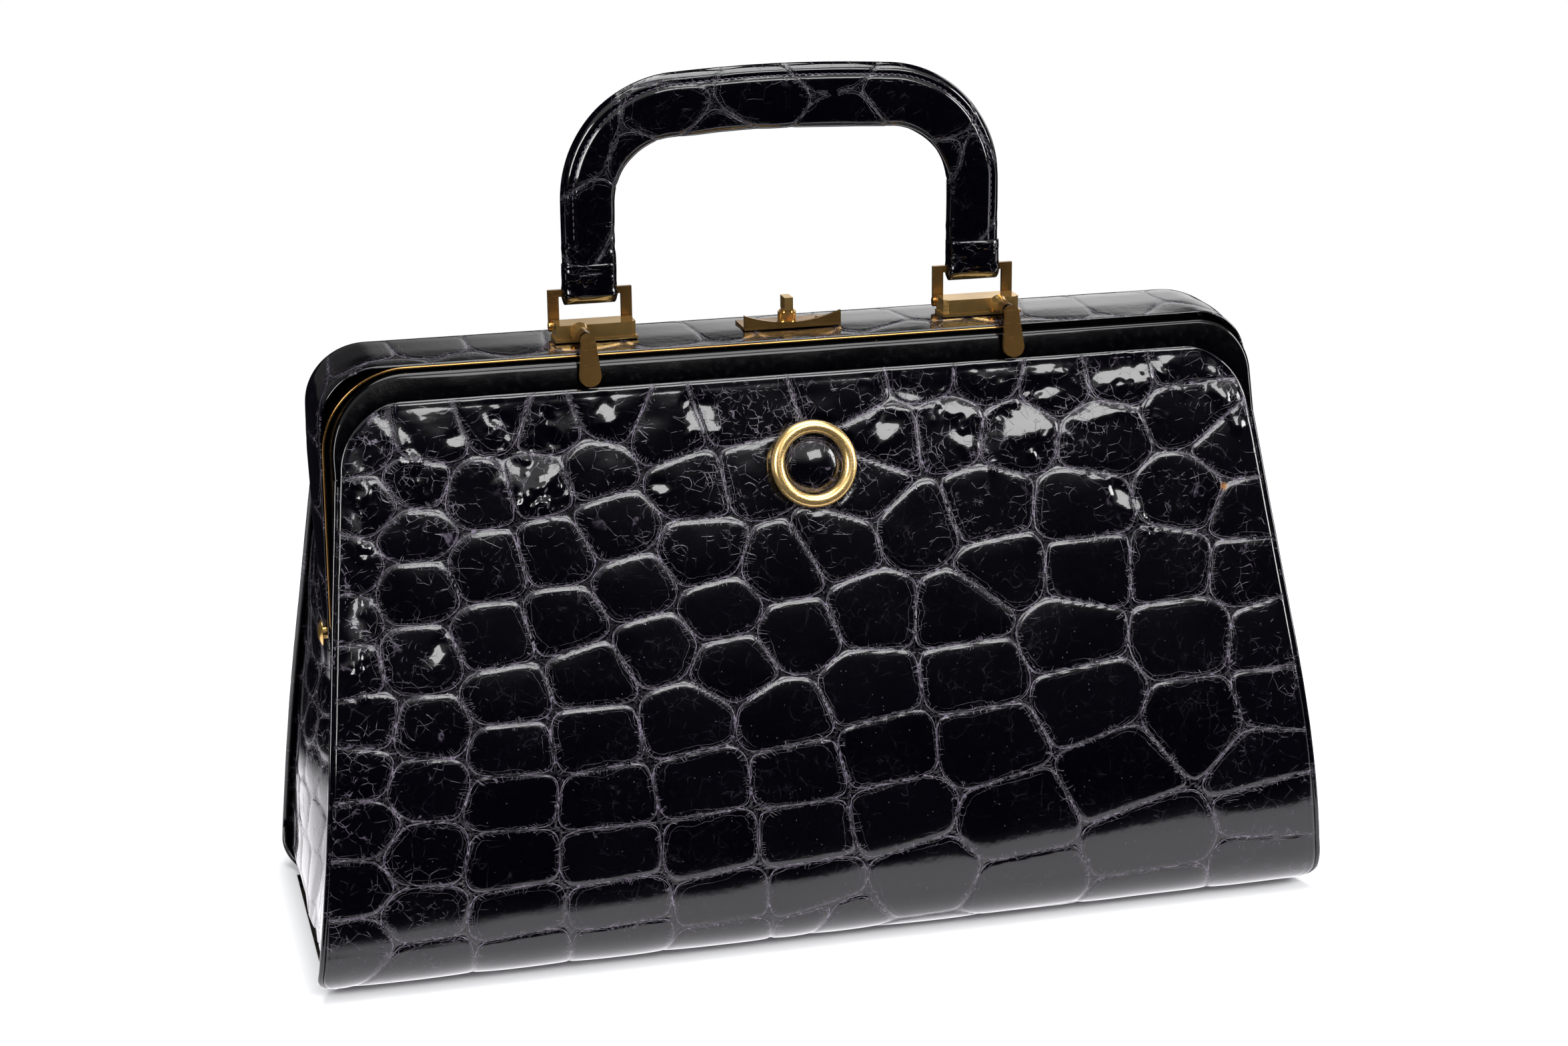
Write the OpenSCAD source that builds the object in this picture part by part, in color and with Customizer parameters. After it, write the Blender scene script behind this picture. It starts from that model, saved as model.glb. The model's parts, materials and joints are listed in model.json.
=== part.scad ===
// Rigid-frame handbag of the doctor's bag kind, with nested frame halves, turn levers and an arched handle.
// Millimetres. Width along X, front towards -Y, up +Z. The origin is under the middle of the flat base.

/* [Bag body] */
// Width at the base
base_w = 332; // [300:2:360]
// Width of the front and rear panels at their top edge
panel_top_w = 295; // [285:1:299]
// Height of the panels' top edge
panel_top_z = 178.5; // [176:0.5:180]
// Depth over the panels at their top edge
panel_top_d = 47; // [45:1:50]
// Depth over the panels at the shoulder, where they run straight from
shoulder_d = 88; // [80:2:94]
// Height of the shoulder
shoulder_z = 115; // [110:1:120]
// Depth of the flat base between its rounded edges
base_flat_d = 90; // [84:2:94]
// Radius of the rounded bottom edges
base_edge_r = 17; // [14:1:20]
// Depth of the belly's guide points, which the panels bulge towards
belly_d = 132; // [124:2:138]
// Radius of the panels' upper corners
panel_corner_r = 20; // [14:1:22]
// Thickness of the panel leather
leather_t = 1.8; // [1.4:0.1:2.2]
// Thickness of the stiffening boards
board_t = 1.6; // [1.2:0.1:2]
// Thickness of the lining
lining_t = 0.6; // [0.4:0.1:0.8]
// Width of the welt along the panels' side edges
welt_w = 1.6; // [1:0.2:2]

/* [Gussets] */
// Thickness of the gusset leather
gusset_t = 1.4; // [1:0.1:1.6]
// How far the gusset's crease lies inside its edges where it is deepest
fold_depth = 14; // [8:1:16]
// Height of the crease's deepest point
fold_z = 78; // [60:2:84]

/* [Frame] */
// Width over the covered rear frame
frame_w = 309.6; // [308.8:0.2:312]
// Height of the covered rear frame
frame_top_z = 193.2; // [193:0.1:195]
// Outer corner radius of the covered rear frame
frame_r = 28; // [25:1:32]
// Thickness of the frame metal
metal_t = 1.4; // [1.2:0.1:1.5]
// Thickness of the leather over the rear frame
cover_t = 1.5; // [1.3:0.1:1.6]
// Gap between the nested frame halves
nest_gap = 0.4; // [0.3:0.05:0.6]
// How far the rear frame's front edge lies in front of the middle
lip_y = 18; // [17:0.1:18.4]
// How much of the rear frame's brass edge shows in front of its leather
gold_line = 0.5; // [0.3:0.1:0.8]
// Inner edge of the front frame's top flange, in front of the middle
flange_y = 11; // [9:0.5:13]
// Lower ends of the frame walls' side strips
wall_low_z = 158; // [154:1:162]
// Height of the hinge axis
hinge_z = 102; // [98:1:105]
// Radius of the round leg ends
leg_end_r = 6.5; // [5.5:0.5:7]
// Radius of the hinge pins
pin_r = 2; // [1.6:0.1:2.4]
// Radius of the hinge pins' outer heads
pin_head_r = 4.2; // [3.4:0.2:5]

/* [Handle brackets and rings] */
// Distance of the brackets from the middle
bracket_x = 64; // [58:1:68]
// Width of a bracket box
bracket_w = 25.6; // [24:0.2:27]
// Height of a bracket box
bracket_h = 5.4; // [5:0.1:6]
// Front face of the bracket boxes, in front of the middle
bracket_y = 7.5; // [7:0.5:9]
// Chamfer on the boxes' upright front corners
bracket_chamfer = 1.5; // [1:0.1:2]
// Width over a ring
ring_w = 27.2; // [26.4:0.2:28]
// Width of a ring's legs
ring_leg_w = 3.5; // [3:0.1:3.8]
// Thickness of a ring's plate
ring_t = 1.5; // [1.2:0.1:1.6]
// Height of a ring's top bar above its pivot
ring_h = 10.8; // [10:0.1:12]
// Height of a ring's top bar itself
ring_bar_h = 2.2; // [1.8:0.1:2.4]
// Radius of a ring's pivot bar
ring_pivot_r = 1.2; // [1:0.05:1.3]
// Distance of the rings' plane behind the middle
ring_y = 3.6; // [3.4:0.1:4.4]

/* [Turn levers] */
// Distance of the levers from the middle
lever_x = 69.5; // [62:0.5:71]
// Radius of the lever's boss
lever_boss_r = 2.3; // [2:0.1:2.4]
// Radius of the lever's journal in its lug
journal_r = 1.2; // [1:0.05:1.3]
// Length of the paddle below the lever's axis
paddle_l = 14.5; // [12:0.5:15]
// Width of the paddle at its lower end
paddle_w = 7; // [6:0.2:8]
// Thickness of the paddle
paddle_t = 1.6; // [1.2:0.1:2]
// Forward lean of the paddle, in degrees
paddle_lean = 11; // [8:1:14]

/* [Centre clasp] */
// Width of the clasp plate
clasp_w = 32; // [28:1:36]
// Height of the clasp plate's ends
clasp_end_h = 4.8; // [4:0.2:5.4]
// Height of the clasp plate's hollow middle
clasp_mid_h = 1.9; // [1.6:0.1:2.2]
// Radius of the key's collar
collar_r = 3; // [2.6:0.1:3.4]
// Height of the key's collar
collar_h = 3.5; // [3:0.1:4]
// Width of the key's flattened head
key_head_w = 2.8; // [2.4:0.1:3.2]
// Depth of the key's flattened head
key_head_d = 5.8; // [5:0.1:6.4]
// Height of the key's flattened head
key_head_h = 4.3; // [3.6:0.1:5]
// Length of the cam under the frame
cam_l = 14; // [10:1:15]

/* [Medallion] */
// Height of the medallion's centre
medallion_z = 154; // [145:1:156]
// Outer diameter of the ring
medallion_d = 28; // [24:1:32]
// Inner diameter of the ring
medallion_bore = 19.5; // [17:0.5:21]
// Crown of the leather disc
disc_crown = 2.2; // [1.5:0.1:2.6]

/* [Handle] */
// Half of the distance between the handle's legs, at their middle
handle_x = 64; // [58:1:68]
// Height of the handle's middle line at the top
handle_top_z = 266.6; // [255:1:275]
// Rise of the handle's middle line between its corners
handle_rise = 1.2; // [0:0.2:3]
// Bend radius of the handle's corners
handle_bend_r = 30; // [26:1:36]
// Width of the handle's legs
handle_leg_w = 17.2; // [15:0.2:18]
// Width of the handle's middle
handle_mid_w = 20.6; // [17:0.2:22]
// Thickness of the handle
handle_t = 8.6; // [7.6:0.2:9.6]
// Thickness of the handle's leather
handle_skin_t = 1.4; // [1.2:0.1:1.6]
// Radius of the eyes that wrap the rings' top bars
eye_r = 3.9; // [3.6:0.1:4.1]

/* [Hidden] */

$fn = 64;
// Clearance between pieces that lie on each other without moving
seat_gap = 0.1;
// Radial clearance of a turning fit
turn_gap = 0.05;
// Clearance between soft pieces and moving ones
soft_gap = 0.3;
// How far cutting solids run past what they cut
over = 1;
// Lift of the panels' wrapped edges over the base panel's underside
base_lift = 0.3;

half_w = base_w / 2;
corner_low_r = 8;
arc_steps = 8;
belly_steps = 12;

// Slope of the straight upper part of the panels, as depth per height on one side
slope = (shoulder_d - panel_top_d) / 2 / (panel_top_z - shoulder_z);
lean = atan(slope);
// Half depth of the plane that the panels' straight part lies in, and what a thickness costs along Y
function plane_d(z) = panel_top_d / 2 + slope * (panel_top_z - z);
function thick_y(t) = t * sqrt(1 + slope * slope);

function bezier(a, b, c, d, t) =
    a * pow(1 - t, 3) + 3 * b * t * pow(1 - t, 2) + 3 * c * t * t * (1 - t) + d * pow(t, 3);

// Side profile of one panel's outer face, from the base's seam up, as [half depth, height]
edge_c = [base_flat_d / 2, base_lift + base_edge_r];
belly_a = [edge_c[0] + base_edge_r, edge_c[1]];
belly_b = [belly_d / 2, shoulder_z / 2];
belly_guide_l = 35;
belly_c = [plane_d(shoulder_z - belly_guide_l), shoulder_z - belly_guide_l];
belly_e = [shoulder_d / 2, shoulder_z];
profile = concat(
    [for (i = [0:arc_steps]) let (a = 90 * i / arc_steps - 90)
        edge_c + base_edge_r * [cos(a), sin(a)]],
    [for (i = [1:belly_steps]) bezier(belly_a, belly_b, belly_c, belly_e, i / belly_steps)],
    [[panel_top_d / 2, panel_top_z]]
);

function unit(v) = v / norm(v);
function outward(p, i) =
    let (a = p[max(i - 1, 0)], b = p[min(i + 1, len(p) - 1)], t = unit(b - a)) [t[1], -t[0]];
function inset(p, t) = [for (i = [0:len(p) - 1]) p[i] - t * outward(p, i)];
function depth_at(p, z) = lookup(z, [for (q = p) [q[1], q[0]]]);
function span(p, low, high) = concat(
    [[depth_at(p, low), low]],
    [for (q = p) if (q[1] > low + over && q[1] < high - over) q],
    [[depth_at(p, high), high]]
);
function reversed(p) = [for (i = [len(p) - 1:-1:0]) p[i]];
function panel_half_w(z) = lookup(z, [[0, half_w], [corner_low_r, half_w], [panel_top_z, panel_top_w / 2]]);

// A layer of one panel between two depths under its face, side being -1 at the front and 1 at the rear
module layer(p, side, outer, inner, low, high) {
    a = span(inset(p, outer), low, high);
    b = span(inset(p, inner), low, high);
    points = [for (q = concat(a, reversed(b))) [side * q[0], q[1]]];
    rotate([90, 0, 90]) translate([0, 0, -base_w]) linear_extrude(2 * base_w) polygon(points);
}

// Front view of a panel, taken in by an inset on every side but the bottom
module panel_face(by) {
    top = panel_top_z - by;
    r = panel_corner_r - by;
    w = panel_top_w / 2 - by;
    low_w = half_w - by;
    right = concat(
        [for (a = [-90:15:0]) [low_w - corner_low_r + corner_low_r * cos(a), corner_low_r + corner_low_r * sin(a)]],
        [for (a = [0:10:90]) [w - r + (r + (low_w - w) * (r / top) * (90 - a) / 90) * cos(a), top - r + r * sin(a)]]
    );
    rotate([90, 0, 0]) translate([0, 0, -base_w]) linear_extrude(2 * base_w)
        polygon(concat(right, [for (p = reversed(right)) [-p[0], p[1]]]));
}

// Front view of an arched frame outline, straight-legged, with round top corners
module arch_2d(w, top, r, low = 0) {
    translate([-w, low]) square([2 * w, top - r - low]);
    translate([-w + r, low]) square([2 * (w - r), top - low]);
    for (s = [-1, 1]) translate([s * (w - r), top - r]) circle(r);
}
module arch(w, top, r, low = 0) {
    rotate([90, 0, 0]) translate([0, 0, -base_w / 2]) linear_extrude(base_w) arch_2d(w, top, r, low);
}
module side_cut(points) {
    rotate([90, 0, 90]) translate([0, 0, -base_w]) linear_extrude(2 * base_w) {
        polygon(points);
        translate([0, hinge_z]) circle(leg_end_r);
    }
}
module across(x, z, r, y0, y1) {
    translate([x, y1, z]) rotate([90, 0, 0]) cylinder(r = r, h = y1 - y0);
}
module along(y, z, r, x0, x1) {
    translate([x0, y, z]) rotate([0, 90, 0]) cylinder(r = r, h = x1 - x0);
}

// The frame halves nest: leather, rear metal, gap, front metal
cover_hw = frame_w / 2;
rear_hw = cover_hw - cover_t - seat_gap;
rear_top = frame_top_z - cover_t - seat_gap;
rear_r = frame_r - cover_t - seat_gap;
front_hw = rear_hw - metal_t - nest_gap;
front_top = rear_top - metal_t - nest_gap;
front_r = rear_r - metal_t - nest_gap;
mouth_w = front_hw - 8.4;
mouth_top = panel_top_z - 6.5;
mouth_r = panel_corner_r - 3;
// Half depth of a frame wall's outer face, against the leather's inner face
function wall_d(z) = plane_d(z) - thick_y(leather_t + seat_gap);
above = frame_top_z + over;
wall_y = thick_y(1.2);

module stud_holes(r) {
    for (s = [-1, 1], t = [-1, 1])
        translate([s * bracket_x + t * stud_x, stud_y, rear_top - 3 * metal_t]) cylinder(r = r, h = 12);
    translate([0, 0, rear_top - 3 * metal_t]) cylinder(r = key_stem_r + turn_gap + r - stud_r, h = 12);
    for (s = [-1, 1])
        translate([s * rivet_x, 0, rear_top - 3 * metal_t]) cylinder(r = rivet_r + r - stud_r, h = 12);
}

stud_r = 1.5;
stud_x = 7;
stud_y = -1.5;
rivet_r = 1;
rivet_x = 11;
key_stem_r = 1.4;

// Side view of a frame half's wall: the strip behind the leather, from the top to the wall's lower ends
module wall_strip(side, outer, inner) {
    rotate([90, 0, 90]) translate([0, 0, -base_w]) linear_extrude(2 * base_w)
        polygon([
            [side * (wall_d(above) - outer), above],
            [side * (wall_d(wall_low_z) - outer), wall_low_z],
            [side * (wall_d(wall_low_z) - inner), wall_low_z],
            [side * (wall_d(above) - inner), above]
        ]);
}

module rear_frame() color("goldenrod") difference() {
    union() {
        intersection() {
            difference() {
                arch(rear_hw, rear_top, rear_r);
                arch(rear_hw - metal_t, rear_top - metal_t, rear_r - metal_t, -over);
            }
            side_cut([
                [-lip_y, above], [-leg_end_r, hinge_z], [leg_end_r, hinge_z],
                [wall_d(wall_low_z), wall_low_z], [wall_d(above), above]
            ]);
        }
        intersection() {
            difference() {
                arch(rear_hw - metal_t / 2, rear_top - metal_t / 2, rear_r - metal_t / 2);
                arch(mouth_w, mouth_top, mouth_r, -over);
            }
            wall_strip(1, 0, wall_y);
        }
    }
    stud_holes(stud_r + turn_gap);
    along(0, hinge_z, pin_r + turn_gap, -base_w, base_w);
}

module rear_frame_cover() color("#26242c") difference() {
    intersection() {
        difference() {
            arch(cover_hw, frame_top_z, frame_r);
            arch(cover_hw - cover_t, frame_top_z - cover_t, frame_r - cover_t, -over);
        }
        side_cut([
            [gold_line - lip_y, above], [gold_line - leg_end_r, hinge_z], [leg_end_r, hinge_z],
            [plane_d(wall_low_z), wall_low_z], [plane_d(above), above]
        ]);
    }
    stud_holes(stud_r + seat_gap);
    along(0, hinge_z, pin_r + seat_gap, -base_w, base_w);
}

// The leather band on a frame half's wall, above the panel and flush with it
module band(side, w, top, r) {
    intersection() {
        difference() {
            arch(w, top, r, wall_low_z);
            panel_face(-seat_gap);
        }
        wall_strip(side, -thick_y(leather_t + seat_gap), -thick_y(seat_gap));
    }
}

module rear_band() color("#15141a")
    band(1, cover_hw - cover_t - seat_gap, frame_top_z - cover_t - seat_gap, frame_r - cover_t - seat_gap);

module panel(side, outer, inner, low, high, by) intersection() {
    layer(profile, side, outer, inner, low, high);
    panel_face(by);
}
module welts(side) intersection() {
    layer(profile, side, seat_gap, leather_t, base_top + seat_gap, wall_low_z - soft_gap);
    difference() {
        panel_face(-welt_w);
        panel_face(-seat_gap);
    }
}

module rear_panel() color("#1b1a22") panel(1, 0, leather_t, base_lift, panel_top_z, 0);
module rear_welt() color("#121117") welts(1);
module front_panel() color("#1b1a22") panel(-1, 0, leather_t, base_lift, panel_top_z, 0);
module front_welt() color("#121117") welts(-1);

// Boards lie under the leather, and the lining under the boards
board_in = leather_t + seat_gap;
lining_in = board_in + board_t + soft_gap;
board_side = 5;
board_low = base_lift + leather_t + board_t + 2 * seat_gap;
// The front board is in two parts, which leave the hide free to fold at the hinges' height
split_under = 14;
split_over = 10;
split_low_z = hinge_z - split_under;
split_high_z = hinge_z + split_over;
module upper_face(by) arch(mouth_w - soft_gap - by, mouth_top - soft_gap - by, mouth_r);

module rear_board() color("peru") intersection() {
    panel(1, board_in, board_in + board_t, board_low, mouth_top, board_side);
    upper_face(0);
}
module front_lower_board() color("peru")
    panel(-1, board_in, board_in + board_t, board_low, split_low_z, board_side);
module front_upper_board() color("peru") intersection() {
    layer(profile, -1, board_in, board_in + board_t, split_high_z, mouth_top);
    upper_face(0);
    panel_face(board_side);
}
base_top = base_lift + leather_t;
base_seam = 0.4;
module base_panel() color("#1b1a22")
    translate([1.5 - half_w, base_seam - base_flat_d / 2, 0])
        cube([2 * (half_w - 1.5), base_flat_d - 2 * base_seam, base_top]);
module base_board() color("peru")
    translate([board_side + 1 - half_w, 1 - base_flat_d / 2, base_top + seat_gap])
        cube([2 * (half_w - board_side - 1), base_flat_d - 2, board_t]);

lining_low = board_low + soft_gap;
lining_floor_d = base_flat_d + 1;
module lining() color("#6b5a4a") intersection() {
    union() {
        layer(profile, 1, lining_in, lining_in + lining_t, lining_low, mouth_top - 2);
        layer(profile, -1, lining_in, lining_in + lining_t, lining_low, split_low_z - 2);
        translate([-half_w, -lining_floor_d / 2, lining_low]) cube([base_w, lining_floor_d, lining_t]);
    }
    panel_face(board_side + 4);
    upper_face(2);
}
module front_lining() color("#6b5a4a") intersection() {
    layer(profile, -1, lining_in, lining_in + lining_t, split_high_z + 2, mouth_top - 2);
    upper_face(2);
    panel_face(board_side + 4);
}

// A gusset is folded in along its crease, which ends on the frames' legs
pin_peen_t = 1.2;
gusset_x = front_hw - metal_t - pin_peen_t - 2 * soft_gap;
gusset_low = base_top + 2 * seat_gap;
gusset_high = wall_low_z - 2;
gusset_edge = inset(profile, leather_t + soft_gap);
crease_high = hinge_z - 4;
function crease_x(z) = lookup(z, [
    [0, half_w - 1.5], [fold_z, panel_half_w(fold_z) - 1.5 - fold_depth],
    [crease_high, gusset_x], [gusset_high, gusset_x]
]);
function crease_y(z) = lookup(z, [
    [crease_high, 0], [hinge_z, leg_end_r - 3], [wall_low_z, wall_d(wall_low_z) - 3]
]);
function gusset_point(z, u) = let (y = depth_at(gusset_edge, z)) [
    (1 - u) * crease_x(z) + u * min(panel_half_w(z) - 1.5, z > crease_high ? gusset_x + 10 : half_w),
    (1 - u) * crease_y(z) + u * y,
    z
];
gusset_columns = 5;
module gusset_leaf(side, low, high) {
    rows = round((high - low) / 8);
    row_len = gusset_columns + 1;
    outer = [for (j = [0:rows], i = [0:gusset_columns])
        gusset_point(low + (high - low) * j / rows, i / gusset_columns)];
    count = len(outer);
    points = concat(
        [for (p = outer) [p[0], side * p[1], p[2]]],
        [for (p = outer) [p[0] - gusset_t, side * p[1], p[2]]]
    );
    quads = concat(
        [for (j = [0:rows - 1], i = [0:gusset_columns - 1]) let (k = j * row_len + i)
            [k, k + 1, k + row_len + 1, k + row_len]],
        [for (j = [0:rows - 1], i = [0:gusset_columns - 1]) let (k = count + j * row_len + i)
            [k, k + row_len, k + row_len + 1, k + 1]],
        [for (i = [0:gusset_columns - 1]) [i + 1, i, count + i, count + i + 1]],
        [for (i = [0:gusset_columns - 1]) let (k = rows * row_len + i)
            [k, k + 1, count + k + 1, count + k]],
        [for (j = [0:rows - 1]) let (k = j * row_len) [k, k + row_len, count + k + row_len, count + k]],
        [for (j = [0:rows - 1]) let (k = j * row_len + gusset_columns)
            [k + row_len, k, count + k, count + k + row_len]]
    );
    faces = [for (q = quads, h = [0, 1]) h == 0 ? [q[0], q[1], q[2]] : [q[0], q[2], q[3]]];
    polyhedron(points, side > 0 ? [for (f = faces) [f[0], f[2], f[1]]] : faces);
}
module gusset() union() {
    gusset_leaf(1, gusset_low, gusset_high);
    gusset_leaf(-1, gusset_low, split_low_z);
}
module gusset_front() gusset_leaf(-1, split_low_z + soft_gap, gusset_high);
module left_gusset() color("#232129") mirror([1, 0, 0]) gusset();
module right_gusset() color("#232129") gusset();
module left_gusset_front() color("#232129") mirror([1, 0, 0]) gusset_front();
module right_gusset_front() color("#232129") gusset_front();

module hinge_pin() {
    inner = front_hw - metal_t - seat_gap;
    along(0, hinge_z, pin_r + 1.2, inner - pin_peen_t, inner);
    along(0, hinge_z, pin_r, inner - pin_peen_t, cover_hw + seat_gap + 1);
    intersection() {
        along(0, hinge_z, pin_head_r, cover_hw + seat_gap, cover_hw + 2);
        translate([cover_hw + seat_gap - 6, 0, hinge_z]) sphere(7.5);
    }
}
module left_hinge_pin() color("gold") mirror([1, 0, 0]) hinge_pin();
module right_hinge_pin() color("gold") hinge_pin();

// Handle brackets stand on the cover, and their studs pass through it and the frame
bracket_z = frame_top_z + seat_gap;
foot_t = 0.9;
ring_z = bracket_z + foot_t + 2;
knuckle_r = 2;
knuckle_w = ring_w - 2 * ring_leg_w - 1;
lever_z = bracket_z + bracket_h - lever_boss_r + 0.1;
socket_y = 13.1;
module bracket_box() {
    w = bracket_w / 2;
    c = bracket_chamfer;
    rear = ring_y - knuckle_r + 0.4;
    linear_extrude(bracket_h)
        polygon([[-w, rear], [-w, c - bracket_y], [c - w, -bracket_y], [w - c, -bracket_y],
            [w, c - bracket_y], [w, rear]]);
    translate([-w - 0.5, -bracket_y - 0.3, 0]) cube([bracket_w + 1, bracket_y + rear, foot_t]);
    translate([-knuckle_w / 2, 0, 0]) cube([knuckle_w, ring_y + knuckle_r, foot_t]);
}
module handle_bracket(s) {
    difference() {
        union() {
            translate([s * bracket_x, 0, bracket_z]) bracket_box();
            along(ring_y, ring_z, knuckle_r, s * bracket_x - knuckle_w / 2, s * bracket_x + knuckle_w / 2);
            translate([s * bracket_x - knuckle_w / 2, ring_y - knuckle_r + 0.2, bracket_z])
                cube([knuckle_w, 2 * knuckle_r - 0.4, ring_z - bracket_z]);
            translate([s * lever_x, -bracket_y + 0.01, lever_z]) rotate([90, 0, 0])
                cylinder(r1 = 3.1, r2 = lever_boss_r + 0.1, h = 3.4);
            across(s * lever_x, lever_z, lever_boss_r, -socket_y, -bracket_y);
        }
        along(ring_y, ring_z, ring_pivot_r + turn_gap, s * bracket_x - bracket_w, s * bracket_x + bracket_w);
    }
    for (t = [-1, 1])
        translate([s * bracket_x + t * stud_x, stud_y, rear_top - metal_t - nut_t - 1])
            cylinder(r = stud_r, h = bracket_z - rear_top + metal_t + nut_t + 2);
}
module left_handle_bracket() color("gold") handle_bracket(-1);
module right_handle_bracket() color("gold") handle_bracket(1);
nut_t = 1.8;
nut_r = 2.9;
module bracket_nuts() color("silver")
    for (s = [-1, 1], t = [-1, 1])
        translate([s * bracket_x + t * stud_x, stud_y, rear_top - metal_t - seat_gap - nut_t])
            difference() {
                cylinder(r = nut_r, h = nut_t, $fn = 6);
                translate([0, 0, -over]) cylinder(r = stud_r + turn_gap, h = nut_t + 2 * over);
            }

// A ring is a thin plate with a window, on a round pivot bar
module ring(s) {
    w = ring_w / 2;
    translate([s * bracket_x, 0, 0]) {
        difference() {
            translate([-w, ring_y - ring_t / 2, ring_z])
                cube([ring_w, ring_t, ring_h + ring_bar_h / 2]);
            translate([-w + ring_leg_w, ring_y - ring_t, ring_z - over])
                cube([ring_w - 2 * ring_leg_w, 2 * ring_t, ring_h - ring_bar_h / 2 + over]);
        }
        for (t = [-1, 1]) {
            x = t * (w - ring_leg_w / 2);
            along(ring_y, ring_z, 1.55, x - ring_leg_w / 2, x + ring_leg_w / 2);
        }
        along(ring_y, ring_z, ring_pivot_r, -w + over, w - over);
    }
}
module left_ring() color("gold") ring(-1);
module right_ring() color("gold") ring(1);

// A lug on the front frame carries each lever in line with its bracket's socket
lug_t = 1.3;
lug_y = lip_y + nest_gap;
lug_r = 2.4;
lug_low = front_top - 6;
module lug_plate(s, by, low) {
    across(s * lever_x, lever_z, lug_r + by, -lug_y - lug_t - by, by - lug_y);
    translate([s * lever_x - lug_r - by, -lug_y - lug_t - by, low])
        cube([2 * (lug_r + by), lug_t + 2 * by, lever_z - low]);
}
module front_frame() color("#1a1a1e") difference() {
    union() {
        intersection() {
            difference() {
                arch(front_hw, front_top, front_r);
                arch(front_hw - metal_t, front_top - metal_t, front_r - metal_t, -over);
            }
            side_cut([
                [-wall_d(above), above], [-wall_d(wall_low_z), wall_low_z], [-leg_end_r, hinge_z],
                [leg_end_r, hinge_z], [-flange_y, front_top], [-flange_y, above]
            ]);
        }
        intersection() {
            difference() {
                arch(front_hw - metal_t / 2, front_top - metal_t / 2, front_r - metal_t / 2);
                arch(mouth_w, mouth_top, mouth_r, -over);
            }
            wall_strip(-1, 0, wall_y);
        }
        for (s = [-1, 1]) lug_plate(s, 0, lug_low);
    }
    for (s = [-1, 1]) across(s * lever_x, lever_z, journal_r + turn_gap, -lug_y - 2 * lug_t, lug_t - lug_y);
    along(0, hinge_z, pin_r + turn_gap, -base_w, base_w);
}
module front_band() color("#0f0f12") difference() {
    band(-1, front_hw, front_top, front_r);
    for (s = [-1, 1]) lug_plate(s, seat_gap, lug_low - 1);
}

// A turn lever: stub, journal, boss and tapered paddle
module paddle_2d() {
    circle(lever_boss_r);
    polygon([[-lever_boss_r, 0], [lever_boss_r, 0],
        [paddle_w / 2, paddle_w / 2 - paddle_l], [-paddle_w / 2, paddle_w / 2 - paddle_l]]);
    translate([0, paddle_w / 2 - paddle_l]) intersection() {
        circle(paddle_w / 2);
        translate([-paddle_w, -paddle_w]) square([2 * paddle_w, paddle_w]);
    }
}
module lever(s) {
    boss_y = -lug_y - lug_t - seat_gap;
    across(s * lever_x, lever_z, lever_boss_r - 0.1, seat_gap - lug_y, -socket_y - soft_gap);
    across(s * lever_x, lever_z, journal_r, boss_y - 1, -lug_y + over);
    across(s * lever_x, lever_z, lever_boss_r, boss_y - 1.4, boss_y);
    translate([s * lever_x, boss_y - 0.6, lever_z]) rotate([90 - paddle_lean, 0, 0])
        linear_extrude(paddle_t) paddle_2d();
}
module left_lever() color("darkgoldenrod") lever(-1);
module right_lever() color("darkgoldenrod") lever(1);

// The centre clasp: an upturned plate, a collar and a turn key with its cam under the frame
clasp_t = 0.8;
clasp_y = 7.9;
clasp_wall = 1.4;
module clasp_plate() color("gold") {
    sag = clasp_end_h - clasp_mid_h;
    r = (clasp_w * clasp_w / 4 + sag * sag) / (2 * sag);
    difference() {
        translate([-clasp_w / 2, -clasp_y, bracket_z]) cube([clasp_w, clasp_y + 5, clasp_t]);
        translate([0, 0, bracket_z - over]) cylinder(r = key_stem_r + turn_gap, h = 4);
        for (s = [-1, 1]) translate([s * rivet_x, 0, bracket_z - over]) cylinder(r = rivet_r + turn_gap, h = 4);
    }
    difference() {
        translate([-clasp_w / 2, -clasp_y, bracket_z]) cube([clasp_w, clasp_wall, clasp_end_h]);
        translate([0, over - clasp_y + clasp_wall, bracket_z + clasp_mid_h + r]) rotate([90, 0, 0])
            cylinder(r = r, h = clasp_wall + 2 * over, $fn = 200);
    }
}
module clasp_rivets() color("gold") for (s = [-1, 1]) translate([s * rivet_x, 0, 0]) {
    top = bracket_z + clasp_t + seat_gap;
    low = rear_top - metal_t - seat_gap;
    translate([0, 0, low - 0.7]) cylinder(r = rivet_r, h = top - low + 1.2);
    translate([0, 0, top]) cylinder(r1 = 1.8, r2 = 1.2, h = 0.7);
    translate([0, 0, low - 0.7]) cylinder(r1 = 1.2, r2 = 1.7, h = 0.7);
}
collar_z = bracket_z + clasp_t + seat_gap;
module key_collar() color("gold") translate([0, 0, collar_z]) difference() {
    union() {
        cylinder(r = collar_r, h = collar_h - 0.5);
        cylinder(r = collar_r - 0.5, h = collar_h);
    }
    translate([0, 0, -over]) cylinder(r = key_stem_r + turn_gap, h = collar_h + 2 * over);
}
cam_t = 1.6;
cam_z = rear_top - metal_t - nest_gap - cam_t;
module turn_key() color("gold") {
    head_z = collar_z + collar_h + seat_gap;
    translate([0, 0, cam_z - 0.6]) cylinder(r = key_stem_r, h = head_z - cam_z + 1.6);
    translate([0, 0, cam_z - 0.6]) cylinder(r = key_stem_r + 0.8, h = 0.5);
    translate([-key_head_w / 2, -key_head_d / 2, head_z]) cube([key_head_w, key_head_d, key_head_h]);
}
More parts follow.
